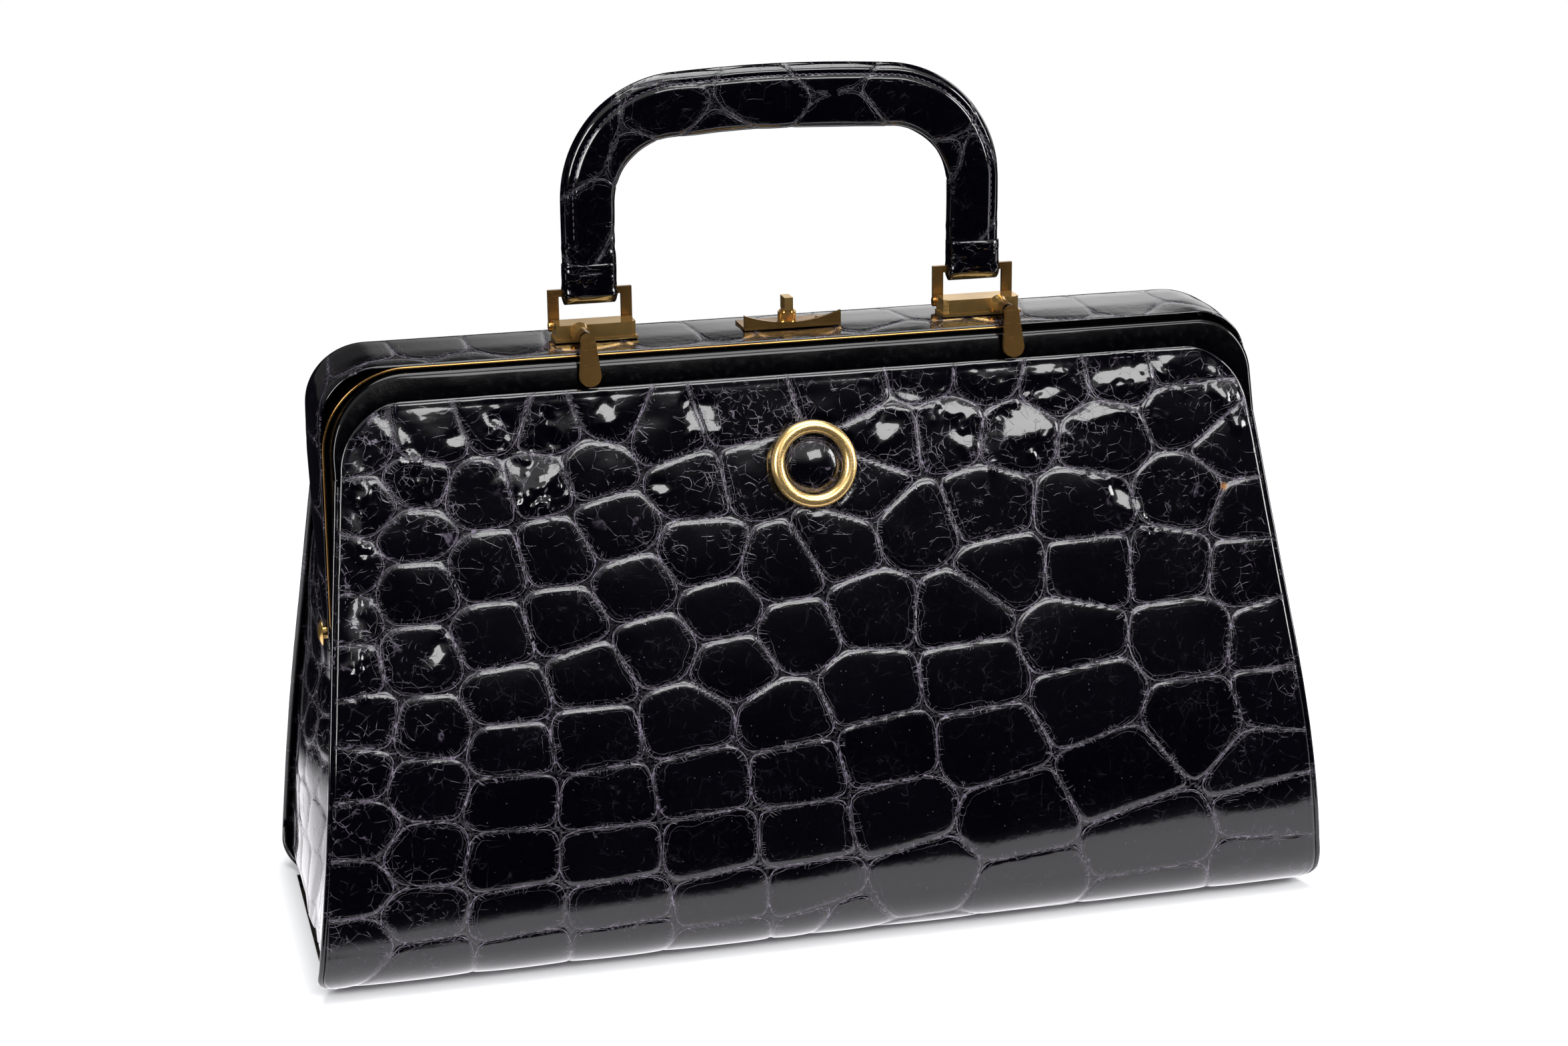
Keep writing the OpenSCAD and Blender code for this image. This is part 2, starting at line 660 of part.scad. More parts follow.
module key_cam() color("silver") difference() {
    translate([0, 0, cam_z]) union() {
        cylinder(r = 3, h = cam_t);
        translate([-cam_l / 2 + 2, -2, 0]) cube([cam_l - 4, 4, cam_t]);
        for (s = [-1, 1]) translate([s * (cam_l / 2 - 2), 0, 0]) cylinder(r = 2, h = cam_t);
    }
    translate([0, 0, cam_z - over]) cylinder(r = key_stem_r + 0.02, h = cam_t + 2 * over);
}

// The medallion lies on the sloping panel
module on_panel(z, lift) translate([0, -plane_d(z), z]) rotate([90 - lean, 0, 0]) translate([0, 0, lift]) children();
medallion_mid_r = (medallion_d + medallion_bore) / 4;
medallion_half = (medallion_d - medallion_bore) / 4;
module medallion_ring() color("gold") on_panel(medallion_z, seat_gap) rotate_extrude() intersection() {
    translate([medallion_mid_r, medallion_half - 0.5]) circle(medallion_half, $fn = 48);
    translate([0, 0]) square([medallion_d, medallion_d]);
}
module medallion_disc() color("#1b1a22") on_panel(medallion_z, seat_gap) {
    r = medallion_bore / 2 - seat_gap;
    ball = (r * r + disc_crown * disc_crown) / (2 * disc_crown);
    intersection() {
        cylinder(r = r, h = 2 * disc_crown);
        translate([0, 0, disc_crown + 0.6 - ball]) sphere(ball, $fn = 128);
    }
}

// The handle: an arch of flattened oval section, with an eye at each end round a ring's top bar
eye_z = ring_z + ring_h;
handle_low = eye_z + 1;
bend_z = handle_top_z - handle_rise - handle_bend_r;
leg_rings = 3;
bend_rings = 8;
top_rings = 4;
section_points = 20;
// One half of the middle line from an end to the top, each as [x, z, angle of travel, share of the way up]
function handle_path() = concat(
    [for (i = [0:leg_rings - 1]) let (t = i / leg_rings) [handle_x, handle_low + t * (bend_z - handle_low), 90, 0]],
    [for (i = [0:bend_rings]) let (t = i / bend_rings, a = 90 * t)
        [handle_x - handle_bend_r * (1 - cos(a)), bend_z + handle_bend_r * sin(a), 90 + a, t]],
    [for (i = [1:top_rings]) let (t = i / top_rings)
        [(handle_x - handle_bend_r) * (1 - t), handle_top_z - handle_rise * pow(1 - t, 2), 180, 1]]
);
half_path = handle_path();
full_path = concat(half_path, [for (i = [len(half_path) - 2:-1:0])
    let (p = half_path[i]) [-p[0], p[1], 360 - p[2], p[3]]]);
function oval(a, b, i) = let (t = 360 * i / section_points, c = cos(t), s = sin(t))
    [a * sign(c) * pow(abs(c), 0.7), b * sign(s) * pow(abs(s), 0.8)];
// Points of the section at one place of the path, from one index round to another
function handle_arc(p, by, first, last) = let (
    a = (handle_leg_w + (handle_mid_w - handle_leg_w) * p[3]) / 2 - by,
    b = handle_t / 2 - by,
    out = [sin(p[2]), -cos(p[2])],
    step = first < last ? 1 : -1
) [for (i = [first:step:last]) let (q = oval(a, b, i)) [p[0] + q[0] * out[0], q[1] + ring_y, p[1] + q[0] * out[1]]];
// Joins equal rings of points into one closed solid. An open section's first half runs along its outer face
// and its second half back along its inner one
module sweep(sections, open_section = false) {
    n = len(sections[0]);
    rings = len(sections);
    faces = concat(
        [for (j = [0:rings - 2], i = [0:n - 1], h = [0, 1]) let (
            a = j * n + i, b = j * n + (i + 1) % n)
            h == 0 ? [a, b + n, b] : [a, a + n, b + n]],
        [for (end = [0, rings - 1]) each open_section
            ? [for (i = [0:n / 2 - 2]) let (q = [i, i + 1, n - 2 - i, n - 1 - i])
                [for (k = end == 0 ? [0:3] : [3:-1:0]) end * n + q[k]]]
            : [[for (i = [0:n - 1]) end * n + (end == 0 ? i : n - 1 - i)]]]
    );
    polyhedron([for (s = sections) each s], faces);
}
half_n = section_points / 2;
// The leather is two pieces, sewn together along the handle's edges. The back one ends above the eyes,
// which the front one wraps round the rings' top bars
module handle_leather(path, first, seam) {
    sweep([for (p = path) concat(
        [for (q = handle_arc(p, 0, first, first + half_n)) q + seam],
        [for (q = handle_arc(p, handle_skin_t, first + half_n, first)) q + seam]
    )], true);
}
module handle_front_leather() color("#1b1a22") difference() {
    union() {
        handle_leather(full_path, half_n, [0, -turn_gap / 2, 0]);
        for (s = [-1, 1])
            along(ring_y, eye_z, eye_r, s * handle_x - handle_leg_w / 2, s * handle_x + handle_leg_w / 2);
    }
    for (s = [-1, 1])
        along(ring_y, eye_z, norm([ring_t, ring_bar_h]) / 2 + 2 * turn_gap, s * handle_x - 20, s * handle_x + 20);
}
module handle_back_leather() color("#1b1a22")
    handle_leather([for (i = [1:len(full_path) - 2]) full_path[i]], 0, [0, turn_gap / 2, 0]);
module handle_core() color("tan")
    sweep([for (i = [1:len(full_path) - 2])
        handle_arc(full_path[i], handle_skin_t + turn_gap, 0, section_points - 1)]);

rear_frame();
rear_frame_cover();
rear_band();
rear_panel();
rear_welt();
rear_board();
front_panel();
front_welt();
front_lower_board();
base_panel();
base_board();
lining();
left_gusset();
right_gusset();
left_gusset_front();
right_gusset_front();
left_hinge_pin();
right_hinge_pin();
left_handle_bracket();
right_handle_bracket();
bracket_nuts();
clasp_plate();
clasp_rivets();
key_collar();
turn_key();
key_cam();
front_frame();
front_band();
front_upper_board();
front_lining();
medallion_ring();
medallion_disc();
left_lever();
right_lever();
left_ring();
right_ring();
handle_core();
handle_front_leather();
handle_back_leather();
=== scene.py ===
# A rigid-frame handbag in dark crocodile leather with brass fittings, dressed piece by piece round its
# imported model, in the order in which such a bag is put together. Lengths are in millimetres up to skin(),
# which makes them metres.
import json

import bpy
import numpy as np
from mathutils import Matrix

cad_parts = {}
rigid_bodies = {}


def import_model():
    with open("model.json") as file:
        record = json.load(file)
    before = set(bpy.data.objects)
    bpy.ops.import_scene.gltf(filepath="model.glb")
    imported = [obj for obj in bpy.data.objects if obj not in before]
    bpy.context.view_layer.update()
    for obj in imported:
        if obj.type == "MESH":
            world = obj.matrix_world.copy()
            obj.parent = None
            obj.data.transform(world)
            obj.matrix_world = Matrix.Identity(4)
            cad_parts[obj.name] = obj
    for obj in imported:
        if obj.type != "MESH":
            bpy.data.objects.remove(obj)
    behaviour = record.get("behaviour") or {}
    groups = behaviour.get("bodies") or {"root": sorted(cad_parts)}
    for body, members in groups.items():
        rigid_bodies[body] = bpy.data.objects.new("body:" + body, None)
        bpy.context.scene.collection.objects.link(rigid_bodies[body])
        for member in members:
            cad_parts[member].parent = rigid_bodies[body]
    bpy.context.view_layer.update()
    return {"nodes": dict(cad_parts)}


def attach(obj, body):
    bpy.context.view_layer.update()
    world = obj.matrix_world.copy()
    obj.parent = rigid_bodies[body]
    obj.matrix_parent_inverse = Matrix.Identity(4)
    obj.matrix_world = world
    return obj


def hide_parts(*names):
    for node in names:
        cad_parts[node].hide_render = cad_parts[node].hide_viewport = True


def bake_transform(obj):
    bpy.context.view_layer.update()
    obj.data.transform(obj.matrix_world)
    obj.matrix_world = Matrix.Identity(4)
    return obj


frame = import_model()
nodes = frame["nodes"]
MM = 0.001


# Camera: a 69 mm lens, 14 degrees to the bag's left and 16 degrees up. Other focal lengths and places fit
# the photograph as well as this one, which was chosen among them.
IMAGE_W, IMAGE_H, FOCAL_PX, SENSOR = 2351, 1568, 4500.0, 36.0
AZIMUTH, ELEVATION, ROLL = (np.radians(a) for a in (14.24, 16.43, -0.65))
CAMERA_AT = np.array([-235.7, -922.0, 406.2]) * MM
forward = np.array([
    np.sin(AZIMUTH) * np.cos(ELEVATION), np.cos(AZIMUTH) * np.cos(ELEVATION), -np.sin(ELEVATION),
])
level = np.array([np.cos(AZIMUTH), -np.sin(AZIMUTH), 0])
upright = np.cross(level, forward)
right_way = level * np.cos(ROLL) + upright * np.sin(ROLL)
up_way = upright * np.cos(ROLL) - level * np.sin(ROLL)
lens = bpy.data.cameras.new("photo camera")
lens.sensor_fit = "HORIZONTAL"
lens.sensor_width = SENSOR
lens.lens = SENSOR * FOCAL_PX / IMAGE_W
lens.clip_start = 0.01
camera = bpy.data.objects.new("photo camera", lens)
turned = np.eye(4)
turned[:3, :3] = np.stack([right_way, up_way, -forward], 1)
turned[:3, 3] = CAMERA_AT
camera.matrix_world = Matrix(turned.tolist())
bpy.context.collection.objects.link(camera)
bpy.context.scene.camera = camera


# Crocodile skin, which covers most of the bag. It is a belly hide, dyed midnight blue and glazed to a high
# gloss. Its scales are cushions between narrow creases, where the dye is paler and the glaze is broken.
INK = (0.0003, 0.0003, 0.0012, 1)
CREASE_GREY = (0.185, 0.155, 0.215, 1)


def node(tree, kind, sockets=(), **settings):
    """Adds a shader node, with its settings, and its sockets as values or as links."""
    made = tree.nodes.new("ShaderNode" + kind)
    for key, value in settings.items():
        setattr(made, key, value)
    for key, value in dict(sockets).items():
        if isinstance(value, bpy.types.NodeSocket):
            tree.links.new(value, made.inputs[key])
        else:
            made.inputs[key].default_value = value
    return made


def sums(tree, operation, first, second=0.0, third=0.0, clamp=False):
    """The output of a Math node."""
    sockets = {0: first, 1: second, 2: third}
    return node(tree, "Math", sockets, operation=operation, use_clamp=clamp).outputs[0]


def ramp(tree, value, low, high, to_low=0.0, to_high=1.0):
    """The output of a smooth Map Range node."""
    sockets = {"Value": value, "From Min": low, "From Max": high, "To Min": to_low, "To Max": to_high}
    return node(tree, "MapRange", sockets, interpolation_type="SMOOTHSTEP").outputs[0]


def mixed(tree, share, first, second):
    """The output of a colour Mix node."""
    made = node(tree, "Mix", data_type="RGBA")
    for socket, value in ((made.inputs[0], share), (made.inputs[6], first), (made.inputs[7], second)):
        if isinstance(value, bpy.types.NodeSocket):
            tree.links.new(value, socket)
        else:
            socket.default_value = value
    return made.outputs[2]


def effect(name, takes, gives):
    """A node group with named inputs and outputs."""
    group = bpy.data.node_groups.new(name, "ShaderNodeTree")
    for key, kind in takes:
        group.interface.new_socket(key, in_out="INPUT", socket_type="NodeSocket" + kind)
    for key, kind in gives:
        group.interface.new_socket(key, in_out="OUTPUT", socket_type="NodeSocket" + kind)
    return group, group.nodes.new("NodeGroupInput").outputs, group.nodes.new("NodeGroupOutput").inputs


def finish(name, rough=0.5, **shader):
    """A new material with its shader's plain values. Returns it with its tree, shader and object place."""
    made = bpy.data.materials.new(name)
    made.use_nodes = True
    tree = made.node_tree
    tree.nodes.clear()
    surface = node(tree, "BsdfPrincipled", {"Roughness": rough})
    for key, value in shader.items():
        surface.inputs[key.replace("_", " ")].default_value = value
    node(tree, "OutputMaterial", {"Surface": surface.outputs[0]})
    place = node(tree, "TexCoord").outputs["Object"]
    return made, tree, surface, place


glaze, taken, given = effect(
    "glazed hide",
    [("Place", "Vector"), ("Crease", "Float"), ("Ray", "Vector"), ("Crackle", "Float"), ("Dye", "Color"),
     ("Worn", "Color")],
    [("Color", "Color"), ("Roughness", "Float"), ("Height", "Float")],
)
wander = node(glaze, "TexNoise", {"Vector": taken["Place"], "Scale": 190.0, "Detail": 3.0}).outputs["Color"]
bent = node(glaze, "VectorMath", {0: wander, 1: (0.5, 0.5, 0.5)}, operation="SUBTRACT").outputs[0]
bent = node(glaze, "VectorMath", {0: bent, 1: (0.0075,) * 3, 2: taken["Place"]},
            operation="MULTIPLY_ADD").outputs[0]
fray = node(glaze, "TexNoise", {"Vector": taken["Place"], "Scale": 900.0, "Detail": 2.0}).outputs[0]
patch = node(glaze, "TexNoise", {"Vector": taken["Place"], "Scale": 55.0, "Detail": 2.0}).outputs[0]
spots = node(glaze, "TexNoise", {"Vector": taken["Place"], "Scale": 260.0, "Detail": 2.0}).outputs[0]


def hairline(value, middle, half):
    """A mask of the thin line along which a value passes a level."""
    off = sums(glaze, "ABSOLUTE", sums(glaze, "SUBTRACT", value, middle))
    return ramp(glaze, off, half, half * 0.35)


# A crease is a bundle of hair-thin pale lines, which wander along its dark floor and break off. Each has the
# fineness of its wander, how far it wanders, its distance from the crease and its half width.
CREASE_LINES = (
    (150.0, 1.0, 0.22, 0.12), (110.0, 2.0, 0.5, 0.07), (230.0, 3.2, 0.85, 0.05), (70.0, 8.0, 1.9, 0.05),
)
bundle = []
for count, (size, sway, start, half) in enumerate(CREASE_LINES):
    sway_of = node(glaze, "TexNoise", {"Vector": bent, "Scale": size, "Detail": 3.0}).outputs[0]
    swayed = sums(glaze, "MULTIPLY_ADD", sums(glaze, "SUBTRACT", sway_of, 0.5), sway, taken["Crease"])
    broken = ramp(glaze, patch if count % 2 else spots, 0.36, 0.58, 0.42 - 0.14 * count, 1.0 - 0.2 * count)
    bundle.append(sums(glaze, "MULTIPLY", hairline(swayed, start, half), broken))
crease = sums(glaze, "MAXIMUM", sums(glaze, "MAXIMUM", bundle[0], bundle[1]),
              sums(glaze, "MAXIMUM", bundle[2], bundle[3]))
floor_line = ramp(glaze, taken["Crease"], 0.8, 0.2)
# Lashes: short cracks across the edges of a scale, towards its middle
turned = node(glaze, "VectorMath", {0: wander, 1: (0.16,) * 3, 2: taken["Ray"]},
              operation="MULTIPLY_ADD").outputs[0]
spokes = node(glaze, "TexNoise", {"Vector": turned, "Scale": 7.0, "Detail": 1.0}).outputs[0]
reach = sums(glaze, "MULTIPLY_ADD", sums(glaze, "SUBTRACT", spots, 0.5), 9.0, taken["Crease"])
lash = sums(glaze, "MULTIPLY", hairline(spokes, 0.5, 0.018), ramp(glaze, reach, 2.0, 0.6))
# Where the hide was bent, a net of longer cracks goes over the scales too
long_cracks = node(glaze, "TexNoise", {"Vector": taken["Place"], "Scale": 85.0, "Detail": 1.0}).outputs[0]
eased = node(glaze, "VectorMath", {0: wander, 1: (0.0022,) * 3, 2: taken["Place"]},
             operation="MULTIPLY_ADD").outputs[0]
net = node(glaze, "TexVoronoi", {"Vector": eased, "Scale": 170.0}, feature="DISTANCE_TO_EDGE").outputs[0]
small_net = node(glaze, "TexVoronoi", {"Vector": eased, "Scale": 330.0},
                 feature="DISTANCE_TO_EDGE").outputs[0]
small_web = sums(glaze, "MULTIPLY", ramp(glaze, small_net, 0.03, 0.01),
                 ramp(glaze, patch, 0.54, 0.64, 0.0, 0.8))
bend = sums(glaze, "MULTIPLY", taken["Crackle"], ramp(glaze, patch, 0.38, 0.58, 0.15, 1.0))
web = sums(glaze, "MAXIMUM", hairline(long_cracks, 0.5, 0.007), ramp(glaze, net, 0.017, 0.005))
web = sums(glaze, "MAXIMUM", web, small_web)
web = sums(glaze, "MULTIPLY", sums(glaze, "MULTIPLY", web, bend), ramp(glaze, spots, 0.42, 0.6, 0.0, 0.8))
hair = sums(glaze, "MAXIMUM", sums(glaze, "MULTIPLY", lash, 0.6), web)
grit = node(glaze, "TexVoronoi", {"Vector": taken["Place"], "Scale": 620.0})
rare = node(glaze, "SeparateColor", {0: grit.outputs["Color"]}).outputs[0]
speck = sums(glaze, "MULTIPLY", ramp(glaze, grit.outputs[0], 0.16, 0.07), ramp(glaze, rare, 0.86, 0.9))
tone = node(glaze, "SeparateXYZ", {0: taken["Ray"]}).outputs[2]
tint = sums(glaze, "MULTIPLY_ADD", sums(glaze, "SUBTRACT", patch, 0.5), 1.2, tone, clamp=True)
dye = mixed(glaze, tint, taken["Dye"], mixed(glaze, 0.003, taken["Dye"], taken["Worn"]))
pale = sums(glaze, "MAXIMUM", crease, sums(glaze, "MULTIPLY", hair, 0.8))
pale = sums(glaze, "MULTIPLY", pale, ramp(glaze, fray, 0.35, 0.62, 0.2, 0.9))
pale = sums(glaze, "MULTIPLY_ADD", speck, 0.35, pale, clamp=True)
glaze.links.new(mixed(glaze, pale, dye, taken["Worn"]), given["Color"])
broken = sums(glaze, "MULTIPLY_ADD", sums(glaze, "MAXIMUM", crease, hair), 0.3, 0.14)
glaze.links.new(sums(glaze, "MULTIPLY_ADD", patch, 0.1, broken), given["Roughness"])
grain = node(glaze, "TexNoise", {"Vector": taken["Place"], "Scale": 1500.0, "Detail": 3.0}).outputs[0]
rise = sums(glaze, "MULTIPLY_ADD", grain, 0.035, sums(glaze, "MULTIPLY", floor_line, -0.3))
swell = sums(glaze, "MULTIPLY_ADD", spots, 0.35, rise)
cut = sums(glaze, "MAXIMUM", crease, hair)
glaze.links.new(sums(glaze, "MULTIPLY_ADD", cut, -0.55, swell), given["Height"])


def hide(name, dye=INK, worn=CREASE_GREY, crackle=0.3, marks=()):
    """Glazed crocodile, from the piece's own crease and ray attributes. Crackle None reads its attribute.
    Marks are scuffs, each with its place, its radius and its colour."""
    made, tree, surface, place = finish(name, Specular_IOR_Level=0.16, Coat_Weight=1.0, Coat_Roughness=0.035)
    crease_of = node(tree, "Attribute", attribute_name="crease").outputs["Fac"]
    ray_of = node(tree, "Attribute", attribute_name="ray").outputs["Vector"]
    skin_fx = node(tree, "Group", node_tree=glaze)
    for key, value in (("Place", place), ("Crease", crease_of), ("Ray", ray_of)):
        tree.links.new(value, skin_fx.inputs[key])
    if crackle is None:
        crackle_of = node(tree, "Attribute", attribute_name="crackle").outputs["Fac"]
        tree.links.new(crackle_of, skin_fx.inputs["Crackle"])
    else:
        skin_fx.inputs["Crackle"].default_value = crackle
    skin_fx.inputs["Dye"].default_value = dye
    skin_fx.inputs["Worn"].default_value = worn
    colour = skin_fx.outputs["Color"]
    for spot, radius, scuff in marks:
        away = node(tree, "VectorMath", {0: place, 1: spot}, operation="DISTANCE").outputs["Value"]
        torn = node(tree, "TexNoise", {"Vector": place, "Scale": 1400.0, "Detail": 4.0}).outputs[0]
        away = sums(tree, "MULTIPLY_ADD", torn, radius * 1.6, away)
        colour = mixed(tree, ramp(tree, away, radius * 1.9, radius * 1.2), colour, scuff)
    tree.links.new(colour, surface.inputs["Base Color"])
    tree.links.new(skin_fx.outputs["Roughness"], surface.inputs["Roughness"])
    bump = node(tree, "Bump", {"Height": skin_fx.outputs["Height"], "Strength": 0.55, "Distance": 0.00022})
    tree.links.new(bump.outputs[0], surface.inputs["Normal"])
    tree.links.new(bump.outputs[0], surface.inputs["Coat Normal"])
    return made


def lumps(a, b, size, seed):
    """Smooth heights between -1 and 1 over a surface, about so many millimetres apart."""
    table = np.random.default_rng(seed).uniform(-1, 1, (64, 64))
    x, y = a / size + 31.7, b / size + 17.3
    i, j = np.floor(x).astype(int), np.floor(y).astype(int)
    fx, fy = x - i, y - j
    fx, fy = fx * fx * (3 - 2 * fx), fy * fy * (3 - 2 * fy)
    i, j, k, m = i % 64, j % 64, (i + 1) % 64, (j + 1) % 64
    low = table[i, j] * (1 - fx) + table[k, j] * fx
    high = table[i, m] * (1 - fx) + table[k, m] * fx
    return low * (1 - fy) + high * fy


def rows_of_scales(a0, a1, b0, b1, wide, high, seed, stray=0.16):
    """Middles of scales in staggered rows, as on a hide, with a little disorder."""
    rng = np.random.default_rng(seed)
    found = []
    for row, b in enumerate(np.arange(b0 - high, b1 + high, high)):
        start = a0 - wide * (1.5 - 0.5 * (row % 2))
        for a in np.arange(start, a1 + wide, wide):
            found.append((a + rng.uniform(-stray, stray) * wide, b + rng.uniform(-stray, stray) * high))
    return np.array(found)


def scales(a, b, middles, squat=1.25, rounding=1.5):
    """For points on a hide, the distance to the nearest crease, in millimetres, and a ray: the direction
    from the middle of the scale, and the scale's own tone."""
    spread = np.array([1.0, squat])
    mid = middles * spread
    here = np.stack([a, b], 1) * spread
    crease_at = np.empty(len(here))
    ray = np.empty((len(here), 3))
    tones = np.random.default_rng(5).uniform(0, 1, len(middles))
    for part in np.array_split(np.arange(len(here)), len(here) // 6000 + 1):
        away = np.linalg.norm(here[part, None] - mid[None], axis=2)
        order = np.argsort(away, axis=1)[:, :8]
        own = mid[order[:, 0]]
        total = np.zeros(len(part))
        for other in order.T[1:]:
            across = mid[other] - own
            span = np.linalg.norm(across, axis=1)
            to_edge = (((own + mid[other]) / 2 - here[part]) * across).sum(1) / span
            total += np.exp(-to_edge / rounding)
        crease_at[part] = -rounding * np.log(total)
        from_middle = here[part] - own
        ray[part, :2] = from_middle / (np.linalg.norm(from_middle, axis=1)[:, None] + 0.5)
        ray[part, 2] = tones[order[:, 0]]
    return np.maximum(crease_at, -3), ray


def pillow(crease_at, deep=0.42, crown=0.4):
    """Height of a hide over its crease floors: steep out of the crease, then a slow crown."""
    out = np.maximum(crease_at, 0)
    return deep * (np.clip((out + 0.15) / 1.1, 0, 1) ** 0.7 - 1) + crown * (1 - np.exp(-out / 4.5))


def skin(name, columns, rows, place, closed=False):
    """A grid as a hide: place(u, v) gives each point in millimetres, its crease distance and its ray."""
    bpy.ops.object.select_all(action="DESELECT")
    bpy.ops.mesh.primitive_grid_add(x_subdivisions=columns, y_subdivisions=rows, size=2)
    piece = bpy.context.object
    piece.name = name
    mesh = piece.data
    mesh.name = name
    flat = np.empty(len(mesh.vertices) * 3)
    mesh.vertices.foreach_get("co", flat)
    flat = (flat.reshape(-1, 3) + 1) / 2
    points, *looks = place(flat[:, 0], flat[:, 1])
    mesh.vertices.foreach_set("co", (points * MM).ravel())
    for key, values in zip(("crease", "ray", "crackle"), looks):
        if np.ndim(values) == 2:
            mesh.attributes.new(key, "FLOAT_VECTOR", "POINT").data.foreach_set("vector", values.ravel())
        else:
            values = np.broadcast_to(values, len(points)).astype(np.float32)
            mesh.attributes.new(key, "FLOAT", "POINT").data.foreach_set("value", values)
    mesh.update()
    bpy.ops.object.mode_set(mode="EDIT")
    bpy.ops.mesh.select_all(action="SELECT")
    if closed:
        bpy.ops.mesh.remove_doubles(threshold=1e-6)
        bpy.ops.mesh.normals_make_consistent(inside=False)
    bpy.ops.mesh.faces_shade_smooth()
    bpy.ops.object.mode_set(mode="OBJECT")
    return piece


def dress(piece, material):
    """Gives a piece its one material."""
    piece.data.materials.clear()
    piece.data.materials.append(material)
    return piece


# Front and rear panels: one hide each, 1.8 mm thick, cut to a trapezium with round upper corners. They roll
# under at the base, bulge low down, and run straight up to the frame. Their edges are turned in and sewn.
# The upper edge is 3.5 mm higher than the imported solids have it, as the photograph shows it.
BASE_HALF, TOP_HALF, TOP_Z, CORNER, FOOT_R = 166.0, 147.5, 182.0, 20.0, 8.0
TOP_DEPTH, SHOULDER_DEPTH, SHOULDER_Z = 22.37, 44.0, 115.0
FLAT_DEPTH, EDGE_R, LIFT, BELLY = 45.0, 17.0, 0.3, 66.0
SLOPE = (SHOULDER_DEPTH - TOP_DEPTH) / (TOP_Z - SHOULDER_Z)
LEATHER = 1.8


def plane_depth(z):
    """Half depth of the plane of the panels' upper part."""
    return TOP_DEPTH + SLOPE * (TOP_Z - z)


turn = np.radians(np.linspace(-90, 0, 19))
roll_part = np.stack([FLAT_DEPTH + EDGE_R * np.cos(turn), LIFT + EDGE_R + EDGE_R * np.sin(turn)], 1)
guides = np.array([
    [FLAT_DEPTH + EDGE_R, LIFT + EDGE_R], [BELLY, SHOULDER_Z / 2],
    [plane_depth(SHOULDER_Z - 35), SHOULDER_Z - 35], [SHOULDER_DEPTH, SHOULDER_Z],
])
t = np.linspace(0, 1, 41)[1:, None]
belly_part = (guides[0] * (1 - t) ** 3 + 3 * guides[1] * t * (1 - t) ** 2
              + 3 * guides[2] * t * t * (1 - t) + guides[3] * t ** 3)
side_view = np.concatenate([roll_part, belly_part, [[TOP_DEPTH, TOP_Z]]])
side_run = np.concatenate([[0], np.cumsum(np.linalg.norm(np.diff(side_view, axis=0), axis=1))])


def side_at(run):
    """Depth, height and outward direction at a length along the side view, from the base's seam up."""
    def look(s):
        return np.stack([np.interp(s, side_run, side_view[:, k]) for k in (0, 1)], 1)
    run = np.clip(run, 0, side_run[-1])
    ahead = look(np.minimum(run + 1.5, side_run[-1])) - look(np.maximum(run - 1.5, 0))
    ahead /= np.linalg.norm(ahead, axis=1)[:, None]
    return look(run), np.stack([ahead[:, 1], -ahead[:, 0]], 1)


low_turn = np.radians(np.linspace(-90, 0, 10))
high_turn = np.radians(np.linspace(0, 90, 19))
outline_z = np.concatenate([FOOT_R + FOOT_R * np.sin(low_turn), TOP_Z - CORNER + CORNER * np.sin(high_turn)])
flare = (BASE_HALF - TOP_HALF) * CORNER / TOP_Z * (1 - high_turn / (np.pi / 2))
outline_x = np.concatenate([
    BASE_HALF - FOOT_R + FOOT_R * np.cos(low_turn),
    TOP_HALF - CORNER + (CORNER + flare) * np.cos(high_turn),
])


def half_at(z):
    """Half width of a panel at a height."""
    return np.interp(z, outline_z, outline_x)


def panel_middles(seed):
    """Scales of a belly hide: small and round at the flanks, large and square in the middle rows."""
    rng = np.random.default_rng(seed)
    found = []
    columns = np.array([-164, -149, -123, -93, -61, -29, 4, 37, 71, 105, 136, 158.0])
    for row in range(11):
        s = 6 + row * 18.5
        fan = 1.03 - 0.13 * s / 190
        for count, a in enumerate(columns):
            bow = 5 * np.sin(a / 70.0) + 4 * ((count * 7) % 3 - 1)
            found.append((a * fan + rng.uniform(-3, 3) + 3 * np.sin(s / 30.0), s + bow + rng.uniform(-2, 2)))
    return np.array(found)
